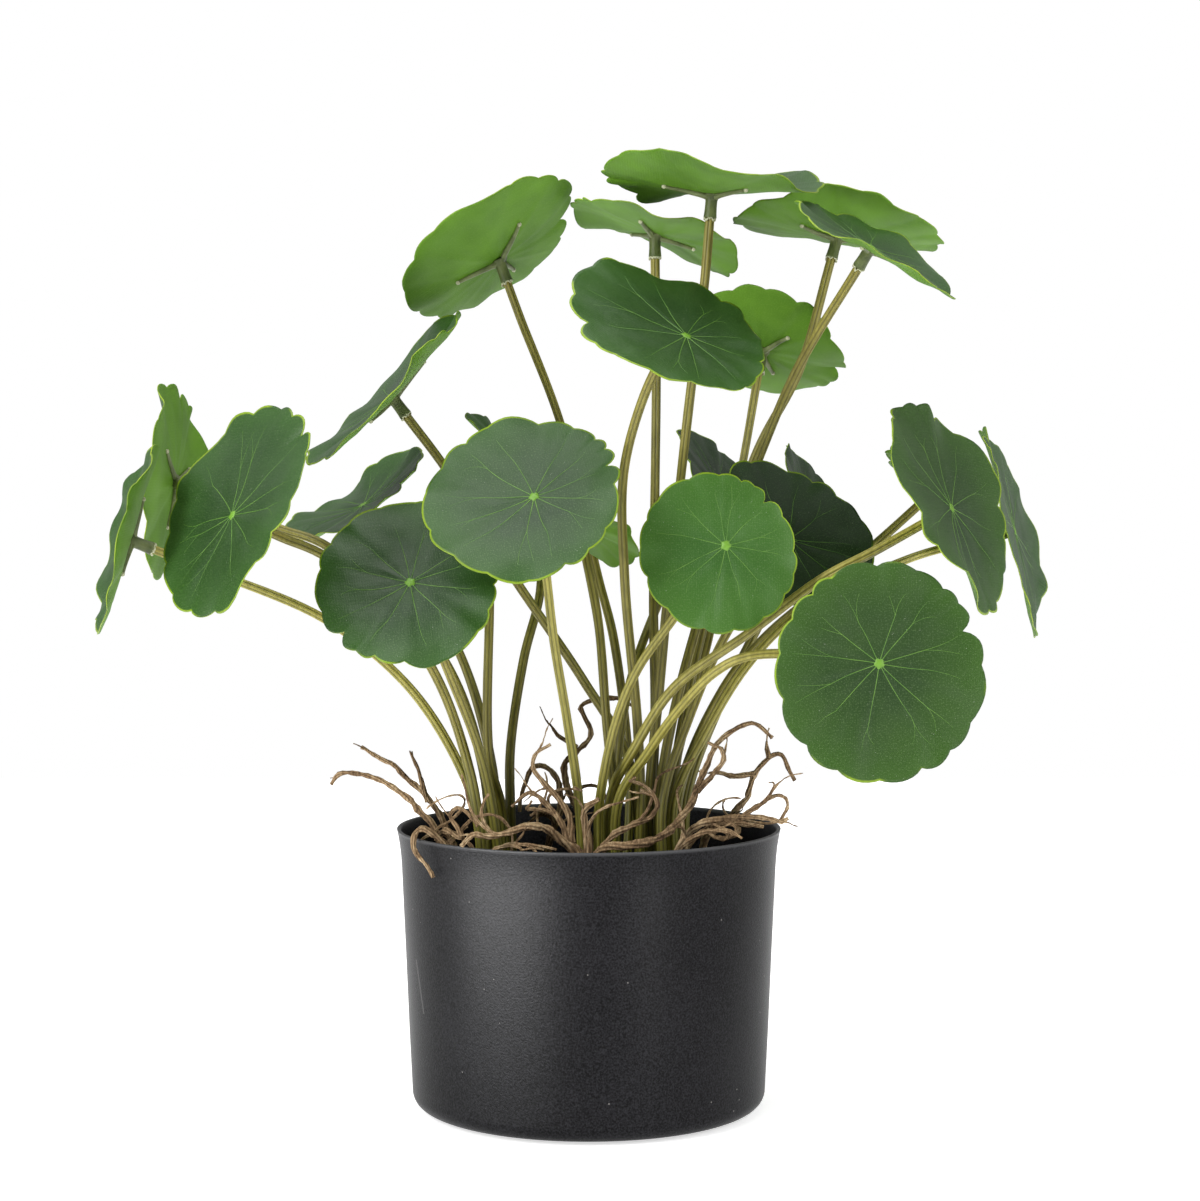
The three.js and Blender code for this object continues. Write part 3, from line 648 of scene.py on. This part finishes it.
LEAF_TOP = leaf_top_material(
    "leaf_top", deep=(0.007, 0.025, 0.0055), fresh=(0.018, 0.047, 0.0105),
    margin=(0.026, 0.08, 0.009), roughness=0.41,
)
LEAF_TOP_WARM = leaf_top_material(
    "leaf_top_warm", deep=(0.0065, 0.024, 0.003), fresh=(0.0145, 0.0415, 0.0035),
    margin=(0.027, 0.079, 0.0037), roughness=0.45,
)
LEAF_TOP_FRESH = leaf_top_material(
    "leaf_top_fresh", deep=(0.016, 0.066, 0.004), fresh=(0.031, 0.096, 0.0085),
    margin=(0.036, 0.108, 0.007), roughness=0.5,
)
# A darker copy of the upper side, for leaves 20, 21 and 25: painted shade, where neighbouring
# leaves keep the light off them.
LEAF_TOP_SHADED = leaf_top_material(
    "leaf_top_shaded", deep=(0.005, 0.016, 0.004), fresh=(0.014, 0.034, 0.01),
    margin=(0.012, 0.034, 0.006), roughness=0.46,
)
LEAF_BACK = leaf_back_material()
LEAF_EDGE = plain_finish("leaf_edge", (0.11, 0.19, 0.01), (0.27, 0.37, 0.02), 120.0, 0.5)
VEIN = plain_finish("vein", (0.055, 0.15, 0.016), (0.115, 0.235, 0.032), 160.0, 0.5)
HUB_DOT = plain_finish("hub_dot", (0.09, 0.2, 0.012), (0.13, 0.28, 0.025), 300.0, 0.45)
COLLAR = plain_finish("collar", (0.05, 0.07, 0.016), (0.115, 0.14, 0.042), 260.0, 0.5, 0.0002)
RIB = plain_finish("rib", (0.075, 0.1, 0.03), (0.18, 0.21, 0.085), 200.0, 0.5, 0.0002)
GLUE = plain_finish("glue", (0.34, 0.35, 0.2), (0.52, 0.52, 0.36), 500.0, 0.4)
STEM_OLIVE = stem_material(
    "stem_olive", foot=(0.115, 0.11, 0.004), low=(0.14, 0.12, 0.013), high=(0.31, 0.27, 0.055),
    groove_shade=(0.045, 0.042, 0.004),
)
STEM_PALE = stem_material(
    "stem_pale", foot=(0.15, 0.145, 0.006), low=(0.2, 0.175, 0.02), high=(0.43, 0.38, 0.085),
    groove_shade=(0.08, 0.08, 0.009),
)
ROOT = root_material()
POT = pot_material()
CEMENT = plain_finish(
    "cement", (0.012, 0.01, 0.008), (0.045, 0.036, 0.028), 180.0, 0.92, bump=0.0012, specular=0.2,
)

# ---- Shaping helpers ----


def mesh_of(bm, name):
    mesh = bpy.data.meshes.new(name)
    bm.to_mesh(mesh)
    bm.free()
    return mesh


def add_piece(name, shape, materials, node=None):
    """A finished mesh or bmesh as a piece of the plant: smooth, and standing for its CAD node."""
    mesh = mesh_of(shape, name) if isinstance(shape, bmesh.types.BMesh) else shape
    for material in materials:
        mesh.materials.append(material)
    mesh.polygons.foreach_set("use_smooth", [True] * len(mesh.polygons))
    piece = bpy.data.objects.new(name, mesh)
    bpy.context.scene.collection.objects.link(piece)
    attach(piece, "root")
    if node:
        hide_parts(node)
    return piece


def take_in(bm, mesh):
    """Adds a mesh to a bmesh and removes the mesh."""
    bm.from_mesh(mesh)
    bpy.data.meshes.remove(mesh)


def smooth_route(points, step):
    """Points about step apart on the curve that the CAD's rods follow through these points."""
    points = [Vector(point) for point in points]
    line = [points[0] * 2 - points[1], *points, points[-1] * 2 - points[-2]]
    route = []
    for a, b, c, d in zip(line, line[1:], line[2:], line[3:]):
        before, here, after = (math.sqrt((q - p).length) for p, q in ((a, b), (b, c), (c, d)))
        leave = ((b - a) / before - (c - a) / (before + here) + (c - b) / here) * here
        arrive = ((c - b) / here - (d - b) / (here + after) + (d - c) / after) * here
        count = max(1, round((c - b).length / step))
        for i in range(count):
            t = i / count
            route.append(
                b * (2 * t**3 - 3 * t**2 + 1) + leave * (t**3 - 2 * t**2 + t)
                + c * (3 * t**2 - 2 * t**3) + arrive * (t**3 - t**2)
            )
    route.append(points[-1])
    return route


class Section:
    """A closed ridged outline of radius 1 mm, to draw stems and roots with."""

    def __init__(self, name, ridges, depth, corners):
        curve = bpy.data.curves.new(name, "CURVE")
        curve.dimensions = "2D"
        spline = curve.splines.new("POLY")
        spline.points.add(corners - 1)
        spline.use_cyclic_u = True
        self.depths = []
        for i, point in enumerate(spline.points):
            angle = 360 * i / corners
            self.depths.append(1 - abs(cos(ridges * angle / 2)) ** 0.55)
            radius = MM * (1 - depth * self.depths[-1])
            point.co = (radius * cos(angle), radius * sin(angle), 0.0, 1.0)
        self.outline = bpy.data.objects.new(name, curve)
        bpy.context.scene.collection.objects.link(self.outline)

    def remove(self):
        bpy.data.objects.remove(self.outline)


STEM_SECTION = Section("stem_section", ridges=6, depth=0.26, corners=48)
ROOT_SECTION = Section("root_section", ridges=5, depth=0.42, corners=20)


def rods(name, strands, section=None, roundness=2, twist=0.0):
    """A mesh of rods. A strand is a list of (point, radius) in millimetres; section is the ridged
    outline that the rods are drawn with, turned by twist at each point, or None for round ones."""
    curve = bpy.data.curves.new(name, "CURVE")
    curve.dimensions = "3D"
    curve.use_fill_caps = True
    curve.twist_mode = "MINIMUM"
    if section:
        curve.bevel_mode = "OBJECT"
        curve.bevel_object = section.outline
    else:
        curve.bevel_depth = MM
        curve.bevel_resolution = roundness
    for strand in strands:
        spline = curve.splines.new("POLY")
        spline.points.add(len(strand) - 1)
        for i, (point, (place, radius)) in enumerate(zip(spline.points, strand)):
            point.co = (*(place * MM), 1.0)
            point.radius = radius
            point.tilt = twist * i
    holder = bpy.data.objects.new(name, curve)
    bpy.context.scene.collection.objects.link(holder)
    graph = bpy.context.evaluated_depsgraph_get()
    mesh = bpy.data.meshes.new_from_object(holder.evaluated_get(graph))
    bpy.data.objects.remove(holder)
    bpy.data.curves.remove(curve)
    if section:
        # Each point's depth in a groove, kept as the mask for the painted shade that the stem and
        # root finishes put in their grooves.
        groove_shade = mesh.attributes.new("groove_shade", "FLOAT", "POINT")
        for i, depth in enumerate(groove_shade.data):
            depth.value = section.depths[i % len(section.depths)]
    return mesh


def turned(profile, steps):
    """A bmesh of a profile of (radius, height) in millimetres turned round the Z axis."""
    bm = bmesh.new()
    verts = [bm.verts.new((radius * MM, 0.0, height * MM)) for radius, height in profile]
    edges = [bm.edges.new(pair) for pair in zip(verts, verts[1:])]
    bmesh.ops.spin(
        bm, geom=verts + edges, cent=(0, 0, 0), axis=(0, 0, 1), angle=math.tau, steps=steps,
        use_merge=True,
    )
    bmesh.ops.remove_doubles(bm, verts=bm.verts, dist=1e-6)
    bmesh.ops.recalc_face_normals(bm, faces=bm.faces)
    return bm


def turn_of(vert):
    """How far round the Z axis a vertex is."""
    return math.atan2(vert.co.y, vert.co.x)


# ---- Leaves ----

RINGS = (
    0.0, 0.025, 0.06, 0.11, 0.17, 0.24, 0.31, 0.38, 0.45, 0.52, 0.6, 0.68, 0.76, 0.84, 0.9,
    0.945, 0.975, 1.0,
)
STEPS_PER_LOBE = 8
FLAT_SPAN = 80  # millimetres that the unbent blade's map is wide
COLLAR_PROFILE = (
    (0, 0.1), (2.9, 0.1), (2.5, 0.7), (2.05, 1.4), (1.8, 2.4), (1.8, 4.5), (1.88, 6.0),
    (1.97, 7.0), (2.0, 7.4), (1.9, 7.55), (1.68, 7.55), (1.62, 7.3), (1.6, 4.8), (0, 4.7),
)
GLUE_RADIUS, GLUE_HEIGHT = 1.72, 7.75
DOT_PROFILE = (
    (0, 0.3), (0.5, 0.29), (0.95, 0.24), (1.3, 0.15), (1.5, 0.0), (1.55, -0.2), (0, -0.2),
)
VEIN_FOOT, VEIN_FORK, VEIN_SIDE, VEIN_TIP = 0.135, 0.085, 0.07, 0.03
FORK_OVERLAP = 0.004
RIB_POINTS = 14
RIB_START = 0.05


def make_blade(number, leaf, top):
    """The blade: a disc of rings, each moved to its place on the bent, scalloped leaf."""
    bm = turned([(rho / MM, 0.0) for rho in RINGS], STEPS_PER_LOBE * len(NOTCHES))
    if sum(face.normal.z for face in bm.faces) < 0:
        bmesh.ops.reverse_faces(bm, faces=bm.faces)
    flat = bm.loops.layers.uv.new("UVMap")
    fullness = bm.verts.layers.float.new("fullness")
    weights = bm.verts.layers.deform.new()
    for vert in bm.verts:
        rho = min(1.0, math.hypot(vert.co.x, vert.co.y))
        turns = (turn_of(vert) / math.tau) % 1.0 * len(NOTCHES)
        whole = int(turns + 1e-4)
        lobe = whole % len(NOTCHES)
        share = max(0.0, turns - whole)
        angle = LOBE_STARTS[lobe] + share * (LOBE_STARTS[lobe + 1] - LOBE_STARTS[lobe])
        vert[fullness] = rho
        vert[weights][0] = thinning(rho)
        vert.co = leaf.surface(rho, angle + leaf.spin)
    for face in bm.faces:
        for loop in face.loops:
            x, y, _ = loop.vert.co
            loop[flat].uv = (0.5 + x / FLAT_SPAN, 0.5 + y / FLAT_SPAN)
    for vert in bm.verts:
        vert.co = leaf.place(vert.co) * MM
    leaf.skin = BVHTree.FromBMesh(bm)
    piece = add_piece(
        f"leaf_{number}_blade", bm, [top, LEAF_BACK, LEAF_EDGE], f"leaf_{number}",
    )
    piece.vertex_groups.new(name="thick")
    wall = piece.modifiers.new("thickness", "SOLIDIFY")
    wall.vertex_group = "thick"
    wall.thickness = BLADE_THICKNESS * MM
    wall.offset = 0.0
    wall.material_offset = 1
    wall.material_offset_rim = 2


def make_veins(number, leaf):
    """The fine raised veins on the blade's upper side, twelve from the hub, and the hub's dot. Each
    vein bends at its fork, and most have a side branch there."""
    strands = []

    def strand(start, end, angle, bend, thick, thin):
        points = []
        count = max(6, round((end - start) * 28))
        bow = leaf.chance.uniform(-1.6, 1.6)
        for i in range(count + 1):
            t = i / count
            rho = start + t * (end - start)
            point = leaf.surface(rho, angle + bend * t**1.25 + bow * math.sin(math.pi * t))
            edge = BLADE_THICKNESS / 2 * thinning(rho)
            points.append((leaf.on_skin(point, edge), thick + t**0.8 * (thin - thick)))
        strands.append(points)

    for vein in leaf.veins:
        side = leaf.chance.choice((-1, 1))
        fork = leaf.chance.uniform(0.4, 0.58)
        reach = leaf.chance.uniform(0.72, 0.86)
        bend = leaf.chance.uniform(-4, 4)
        strand(0.04, fork, vein, bend, VEIN_FOOT, VEIN_FORK)
        fork -= FORK_OVERLAP
        onward = -side * leaf.chance.uniform(1, 4)
        strand(fork, reach, vein + bend, onward, VEIN_FORK, VEIN_TIP)
        if leaf.chance.random() < 0.6:
            branch = side * leaf.chance.uniform(6, 11)
            strand(fork, reach - 0.06, vein + bend, branch, VEIN_SIDE, VEIN_TIP)
    bm = turned(DOT_PROFILE, 20)
    for vert in bm.verts:
        swell = 1 + 0.13 * math.cos(5 * turn_of(vert) + leaf.seed)
        x, y, z = vert.co.x * swell / MM, vert.co.y * swell / MM, vert.co.z / MM
        vert.co = leaf.on_skin(Vector((x, y, 0)), z + BLADE_THICKNESS / 2) * MM
    for face in bm.faces:
        face.material_index = 1
    take_in(bm, rods(f"leaf_{number}_veins", strands, roundness=1))
    add_piece(f"leaf_{number}_veins", bm, [VEIN, HUB_DOT])


def make_collar(number, leaf):
    """The moulded socket on the blade's back, its three ribs and the torn glue round its mouth."""
    to_leaf = leaf.turn.transposed()
    lay = leaf.down.to_track_quat("Z", "Y").to_matrix()
    bm = turned(COLLAR_PROFILE, 36)
    for vert in bm.verts:
        radius = math.hypot(vert.co.x, vert.co.y) / MM
        depth = vert.co.z / MM
        turn = turn_of(vert)
        if radius > 1.75 and 0.9 < depth < 7.5:
            fluting = 0.022 * math.cos(12 * turn) + 0.02 * lump(turn * 2, depth / 2, leaf.seed)
            vert.co.x *= 1 + fluting
            vert.co.y *= 1 + fluting
        point = to_leaf @ (lay @ (vert.co / MM))
        if depth < 3:
            point.z = min(point.z, 0.1 - BLADE_THICKNESS / 2)
        vert.co = leaf.place(point) * MM

    bead = [(GLUE_RADIUS + 0.34 * cos(60 * i), GLUE_HEIGHT + 0.42 * sin(60 * i)) for i in range(7)]
    glue = turned(bead, 30)
    for vert in glue.verts:
        turn = turn_of(vert)
        torn = lump(math.cos(turn) * 3, math.sin(turn) * 3, leaf.seed)
        outwards = Vector((vert.co.x, vert.co.y, 0)).normalized()
        vert.co += outwards * torn * 0.3 * MM + Vector((0, 0, torn * 1.1 * MM))
        vert.co = (leaf.hub + lay @ (vert.co / MM)) * MM

    ribs = []
    for angle in RIB_ANGLES:
        points = [(leaf.place(to_leaf @ (leaf.down * 1.9)), 0.95)]
        for i in range(RIB_POINTS):
            t = i / (RIB_POINTS - 1)
            rho = RIB_START + t * (RIB_REACH - RIB_START)
            swing = 1.4 * math.sin(3 * t + leaf.seed + angle)
            point = leaf.surface(rho, angle + leaf.spin + swing)
            sunk = BLADE_THICKNESS / 2 + 0.3 + 0.5 * (1 - t) ** 2
            points.append((leaf.on_skin(point, -sunk), 1.05 - 0.5 * t))
        ribs.append(points)
        tip = Matrix.Translation(points[-1][0] * MM)
        bmesh.ops.create_icosphere(glue, subdivisions=2, radius=0.72 * MM, matrix=tip)
    for face in glue.faces:
        face.material_index = 1
    take_in(bm, mesh_of(glue, "glue"))
    rib_mesh = rods("ribs", ribs)
    rib_mesh.polygons.foreach_set("material_index", [2] * len(rib_mesh.polygons))
    take_in(bm, rib_mesh)
    add_piece(f"leaf_{number}_collar", bm, [COLLAR, GLUE, RIB], f"leaf_{number}")


# ---- Stems ----


def make_stem(number, leaf, material):
    """One ridged stem, from its socket in the ballast to the peg inside its leaf's collar."""
    head = leaf.hub + leaf.down * (COLLAR_LENGTH - PEG_LENGTH)
    mouth = leaf.hub + leaf.down * (COLLAR_LENGTH + 0.3)
    foot = Vector((*leaf.foot, SOCKET_FLOOR))
    soil = Vector((*leaf.foot, BALLAST_TOP))
    route = [*smooth_route([foot, soil, *leaf.route, mouth], 2.5), head]
    total = len(route) - 1
    strand = []
    for i, point in enumerate(route):
        share = i / total
        swell = 1 + 0.05 * lump(share * 9, leaf.seed, 0)
        radius = STEM_RADIUS * (1.1 - 0.16 * min(1, share * 1.6)) * swell
        strand.append((point, min(radius, PEG_RADIUS) if i >= total - 2 else radius))
    mesh = rods(f"stem_{number}", [strand], STEM_SECTION)
    add_piece(f"stem_{number}_rod", mesh, [material], f"stem_{number}")


# ---- Roots ----

CURL_STEP = 1.25
WALL_REACH = 52  # how far out a curl may go below the pot's lip
LIP_CLEAR = 92
BALLAST_CLEAR = 67


def make_curl(start, heading, chance):
    """A side strand that curls on from start, kept above the ballast and inside the pot's wall."""
    axis = Vector([chance.uniform(-1, 1) for _ in range(3)]).normalized()
    spin = Matrix.Rotation(math.radians(chance.uniform(8, 16)), 3, axis)
    count = chance.randrange(14, 30)
    thick = chance.uniform(0.5, 0.8)
    curl = [(start, thick)]
    for k in range(1, count):
        heading = spin @ heading
        outwards = Vector((start.x, start.y, 0))
        if start.z < LIP_CLEAR and outwards.length > WALL_REACH:
            heading = (heading - outwards.normalized() * 0.6).normalized()
        if start.z < BALLAST_CLEAR:
            heading = (heading + Vector((0, 0, 0.6))).normalized()
        start = start + heading * CURL_STEP
        curl.append((start, thick * (1 - 0.6 * k / count)))
    return curl


def make_fibre(start, heading, chance, i, order):
    """A hair-fine fibre that wanders on from start."""
    fibre = [(start, 0.36)]
    for k in range(chance.randrange(7, 14)):
        heading = (heading + 0.28 * drift(k * 0.2, i * 1.37, order * 1.9)).normalized()
        fibre.append((fibre[-1][0] + heading, 0.34 - 0.018 * k))
    return fibre


def heading_at(strand, i):
    return (strand[i + 1][0] - strand[i][0]).normalized()


def make_root(name, strands):
    """One tuft of dry root: knobbly twisted strands that taper, with fine fibres and curls."""
    chance = random.Random(name)
    drawn = []
    for order, (radius, points) in enumerate(strands):
        route = smooth_route(points, 1.4)
        total = len(route) - 1
        strand = []
        for i, point in enumerate(route):
            share = i / total
            wander = 1.1 * min(1, share * 4) * drift(i * 0.12, order * 5.3, 1)
            knobs = 0.3 * lump(i * 0.5, order * 9, 3) + 0.12 * chance.uniform(-1, 1)
            thick = radius * (1.3 - 0.75 * share**1.5) * (1 + knobs)
            strand.append((point + wander, max(0.25, thick)))
        drawn.append(strand)
        i = chance.randrange(total // 2, total - 1)
        if strand[i][0].z > 86:
            drawn.append(make_fibre(strand[i][0], heading_at(strand, i), chance, i, order))
        for _ in range(2):
            i = chance.randrange(total // 3, total - 2)
            if 66 < strand[i][0].z < 100:
                drawn.append(make_curl(strand[i][0], heading_at(strand, i), chance))
    bm = bmesh.new()
    take_in(bm, rods(name, drawn, ROOT_SECTION, twist=0.22))
    bm.normal_update()
    for vert in bm.verts:
        rough = noise.noise(vert.co * 700) + 0.6 * noise.noise(vert.co * 1900)
        vert.co += vert.normal * rough * 0.24 * MM
    add_piece(f"{name}_fibre", bm, [ROOT], name)


# ---- Pot and ballast ----


def make_pot():
    """The pot: a thin-walled turned shell with a swept rim, a round foot and a standing ring."""
    corner = [(50.3 + 5 * sin(9 * i), 0.8 + 5 * (1 - cos(9 * i))) for i in range(11)]
    recess = [(0, 0.35), (44.5, 0.35)]
    ring = [(45.2, 0.05), (45.8, 0.0), (46.6, 0.0), (47.1, 0.12), (47.6, 0.7), (48.4, 0.82)]
    outside = [(55.36, 7), (56.3, 26), (57.3, 50), (58.1, 68), (58.45, 76), (58.68, 79.5)]
    rim = [
        (59.0, 82.5), (59.4, 85), (59.72, 86.8), (59.9, 87.5), (59.98, 87.8), (59.86, 88.0),
        (59.5, 88.05), (59.1, 88.0), (58.85, 87.85), (58.7, 87.5), (58.3, 85.5), (57.8, 82.5),
    ]
    inside = [(57.4, 79), (56.8, 68), (56.0, 50), (55.0, 26), (54.2, 8), (52.5, 4.5)]
    floor = [(49.5, 2.6), (40, 2.4), (0, 2.4)]
    bm = turned([*recess, *ring, *corner, *outside, *rim, *inside, *floor], 144)
    add_piece("pot_shell", bm, [POT], "pot")


def make_ballast():
    """The rough cement plug that the stems stand in."""
    side = [(0, 2.8), (49.4, 2.8), (53.3, 6.2), (56.2, 61.2)]
    top = [(radius, BALLAST_TOP) for radius in (56.1, 55.6, *range(52, 0, -2), 0)]
    bm = turned([*side, *top], 120)
    for vert in bm.verts:
        if vert.co.z > (BALLAST_TOP - 0.5) * MM:
            rough = sum(
                noise.noise(vert.co * scale) * height
                for scale, height in ((90, 1.1), (320, 0.7), (900, 0.3))
            )
            vert.co.z += (rough - 0.4) * MM
    add_piece("ballast_plug", bm, [CEMENT], "ballast_block")


# ---- The plant ----

LEAF_TOPS = {
    LEAF_TOP_FRESH: ("19", "23"),
    LEAF_TOP_WARM: ("15", "17", "18"),
    # This darker copy paints the shade these leaves sit in.
    LEAF_TOP_SHADED: ("20", "21", "25"),
}
PALE_STEMS = ("01", "06", "15", "16", "18", "19")

make_pot()
make_ballast()
for number, leaf in LEAVES.items():
    tops = [top for top, numbers in LEAF_TOPS.items() if number in numbers]
    make_blade(number, leaf, tops[0] if tops else LEAF_TOP)
    make_veins(number, leaf)
    make_collar(number, leaf)
    make_stem(number, leaf, STEM_PALE if number in PALE_STEMS else STEM_OLIVE)
for name, strands in ROOTS.items():
    make_root(name, strands)
STEM_SECTION.remove()
ROOT_SECTION.remove()

# ---- Studio ----

STRIP_DISTANCE = 0.256
STRIP_HEIGHT = 0.055


def make_floor():
    bm = bmesh.new()
    bmesh.ops.create_grid(bm, x_segments=2, y_segments=2, size=0.9)
    floor = bpy.data.objects.new("floor", mesh_of(bm, "floor"))
    bpy.context.scene.collection.objects.link(floor)
    floor.data.materials.append(Finish("floor").close((0.9, 0.9, 0.9), 0.8, glow=0.6))


def add_softbox(name, place, target, size, power):
    lamp = bpy.data.lights.new(name, "AREA")
    lamp.shape = "RECTANGLE"
    lamp.size, lamp.size_y = size
    lamp.energy = power
    stand = bpy.data.objects.new(name, lamp)
    stand.location = place
    facing = Vector(target) - Vector(place)
    stand.rotation_euler = facing.to_track_quat("-Z", "Y").to_euler()
    bpy.context.scene.collection.objects.link(stand)
    return stand


def make_pot_sheen():
    """Two low strips that are only seen as sheen, and only on the pot."""
    pot_only = bpy.data.collections.new("pot_sheen")
    pot_only.objects.link(bpy.data.objects["pot_shell"])
    for side, azimuth, width, power in (("left", 313, 0.24, 2.25), ("right", 33, 0.03, 0.2)):
        place = (STRIP_DISTANCE * sin(azimuth), -STRIP_DISTANCE * cos(azimuth), STRIP_HEIGHT)
        target = (0, 0, STRIP_HEIGHT)
        strip = add_softbox(f"strip_{side}", place, target, (width, 0.1), power)
        strip.visible_diffuse = False
        strip.visible_camera = False
        strip.light_linking.receiver_collection = pot_only


def make_world(light, sheen):
    """A white surround that lights at one level, is mirrored at a brighter one, and shows as plain
    white behind the plant."""
    world = bpy.data.worlds.new("studio")
    world.use_nodes = True
    nodes, links = world.node_tree.nodes, world.node_tree.links
    sky = nodes["Background"]
    sky.inputs["Color"].default_value = WHITE
    rays = nodes.new("ShaderNodeLightPath")
    seen = nodes.new("ShaderNodeMath")
    seen.operation = "MULTIPLY_ADD"
    seen.inputs[1].default_value = sheen
    level = nodes.new("ShaderNodeMapRange")
    level.inputs["To Min"].default_value = light
    level.inputs["To Max"].default_value = 1.0
    links.new(rays.outputs["Is Glossy Ray"], seen.inputs[0])
    links.new(rays.outputs["Is Camera Ray"], seen.inputs[2])
    links.new(seen.outputs["Value"], level.inputs["Value"])
    links.new(level.outputs["Result"], sky.inputs["Strength"])
    bpy.context.scene.world = world


make_floor()
add_softbox("softbox_left", (-1.1, -0.9, 0.75), (0, 0, 0.15), (0.4, 1.4), 26)
add_softbox("softbox_right", (1.25, -0.7, 0.7), (0, 0, 0.15), (0.32, 1.4), 14)
add_softbox("softbox_top", (-0.1, -0.1, 1.5), (0, 0, 0.2), (1.2, 1.2), 17)
make_pot_sheen()
make_world(light=0.28, sheen=0.3)
bpy.context.scene.view_settings.view_transform = "Standard"
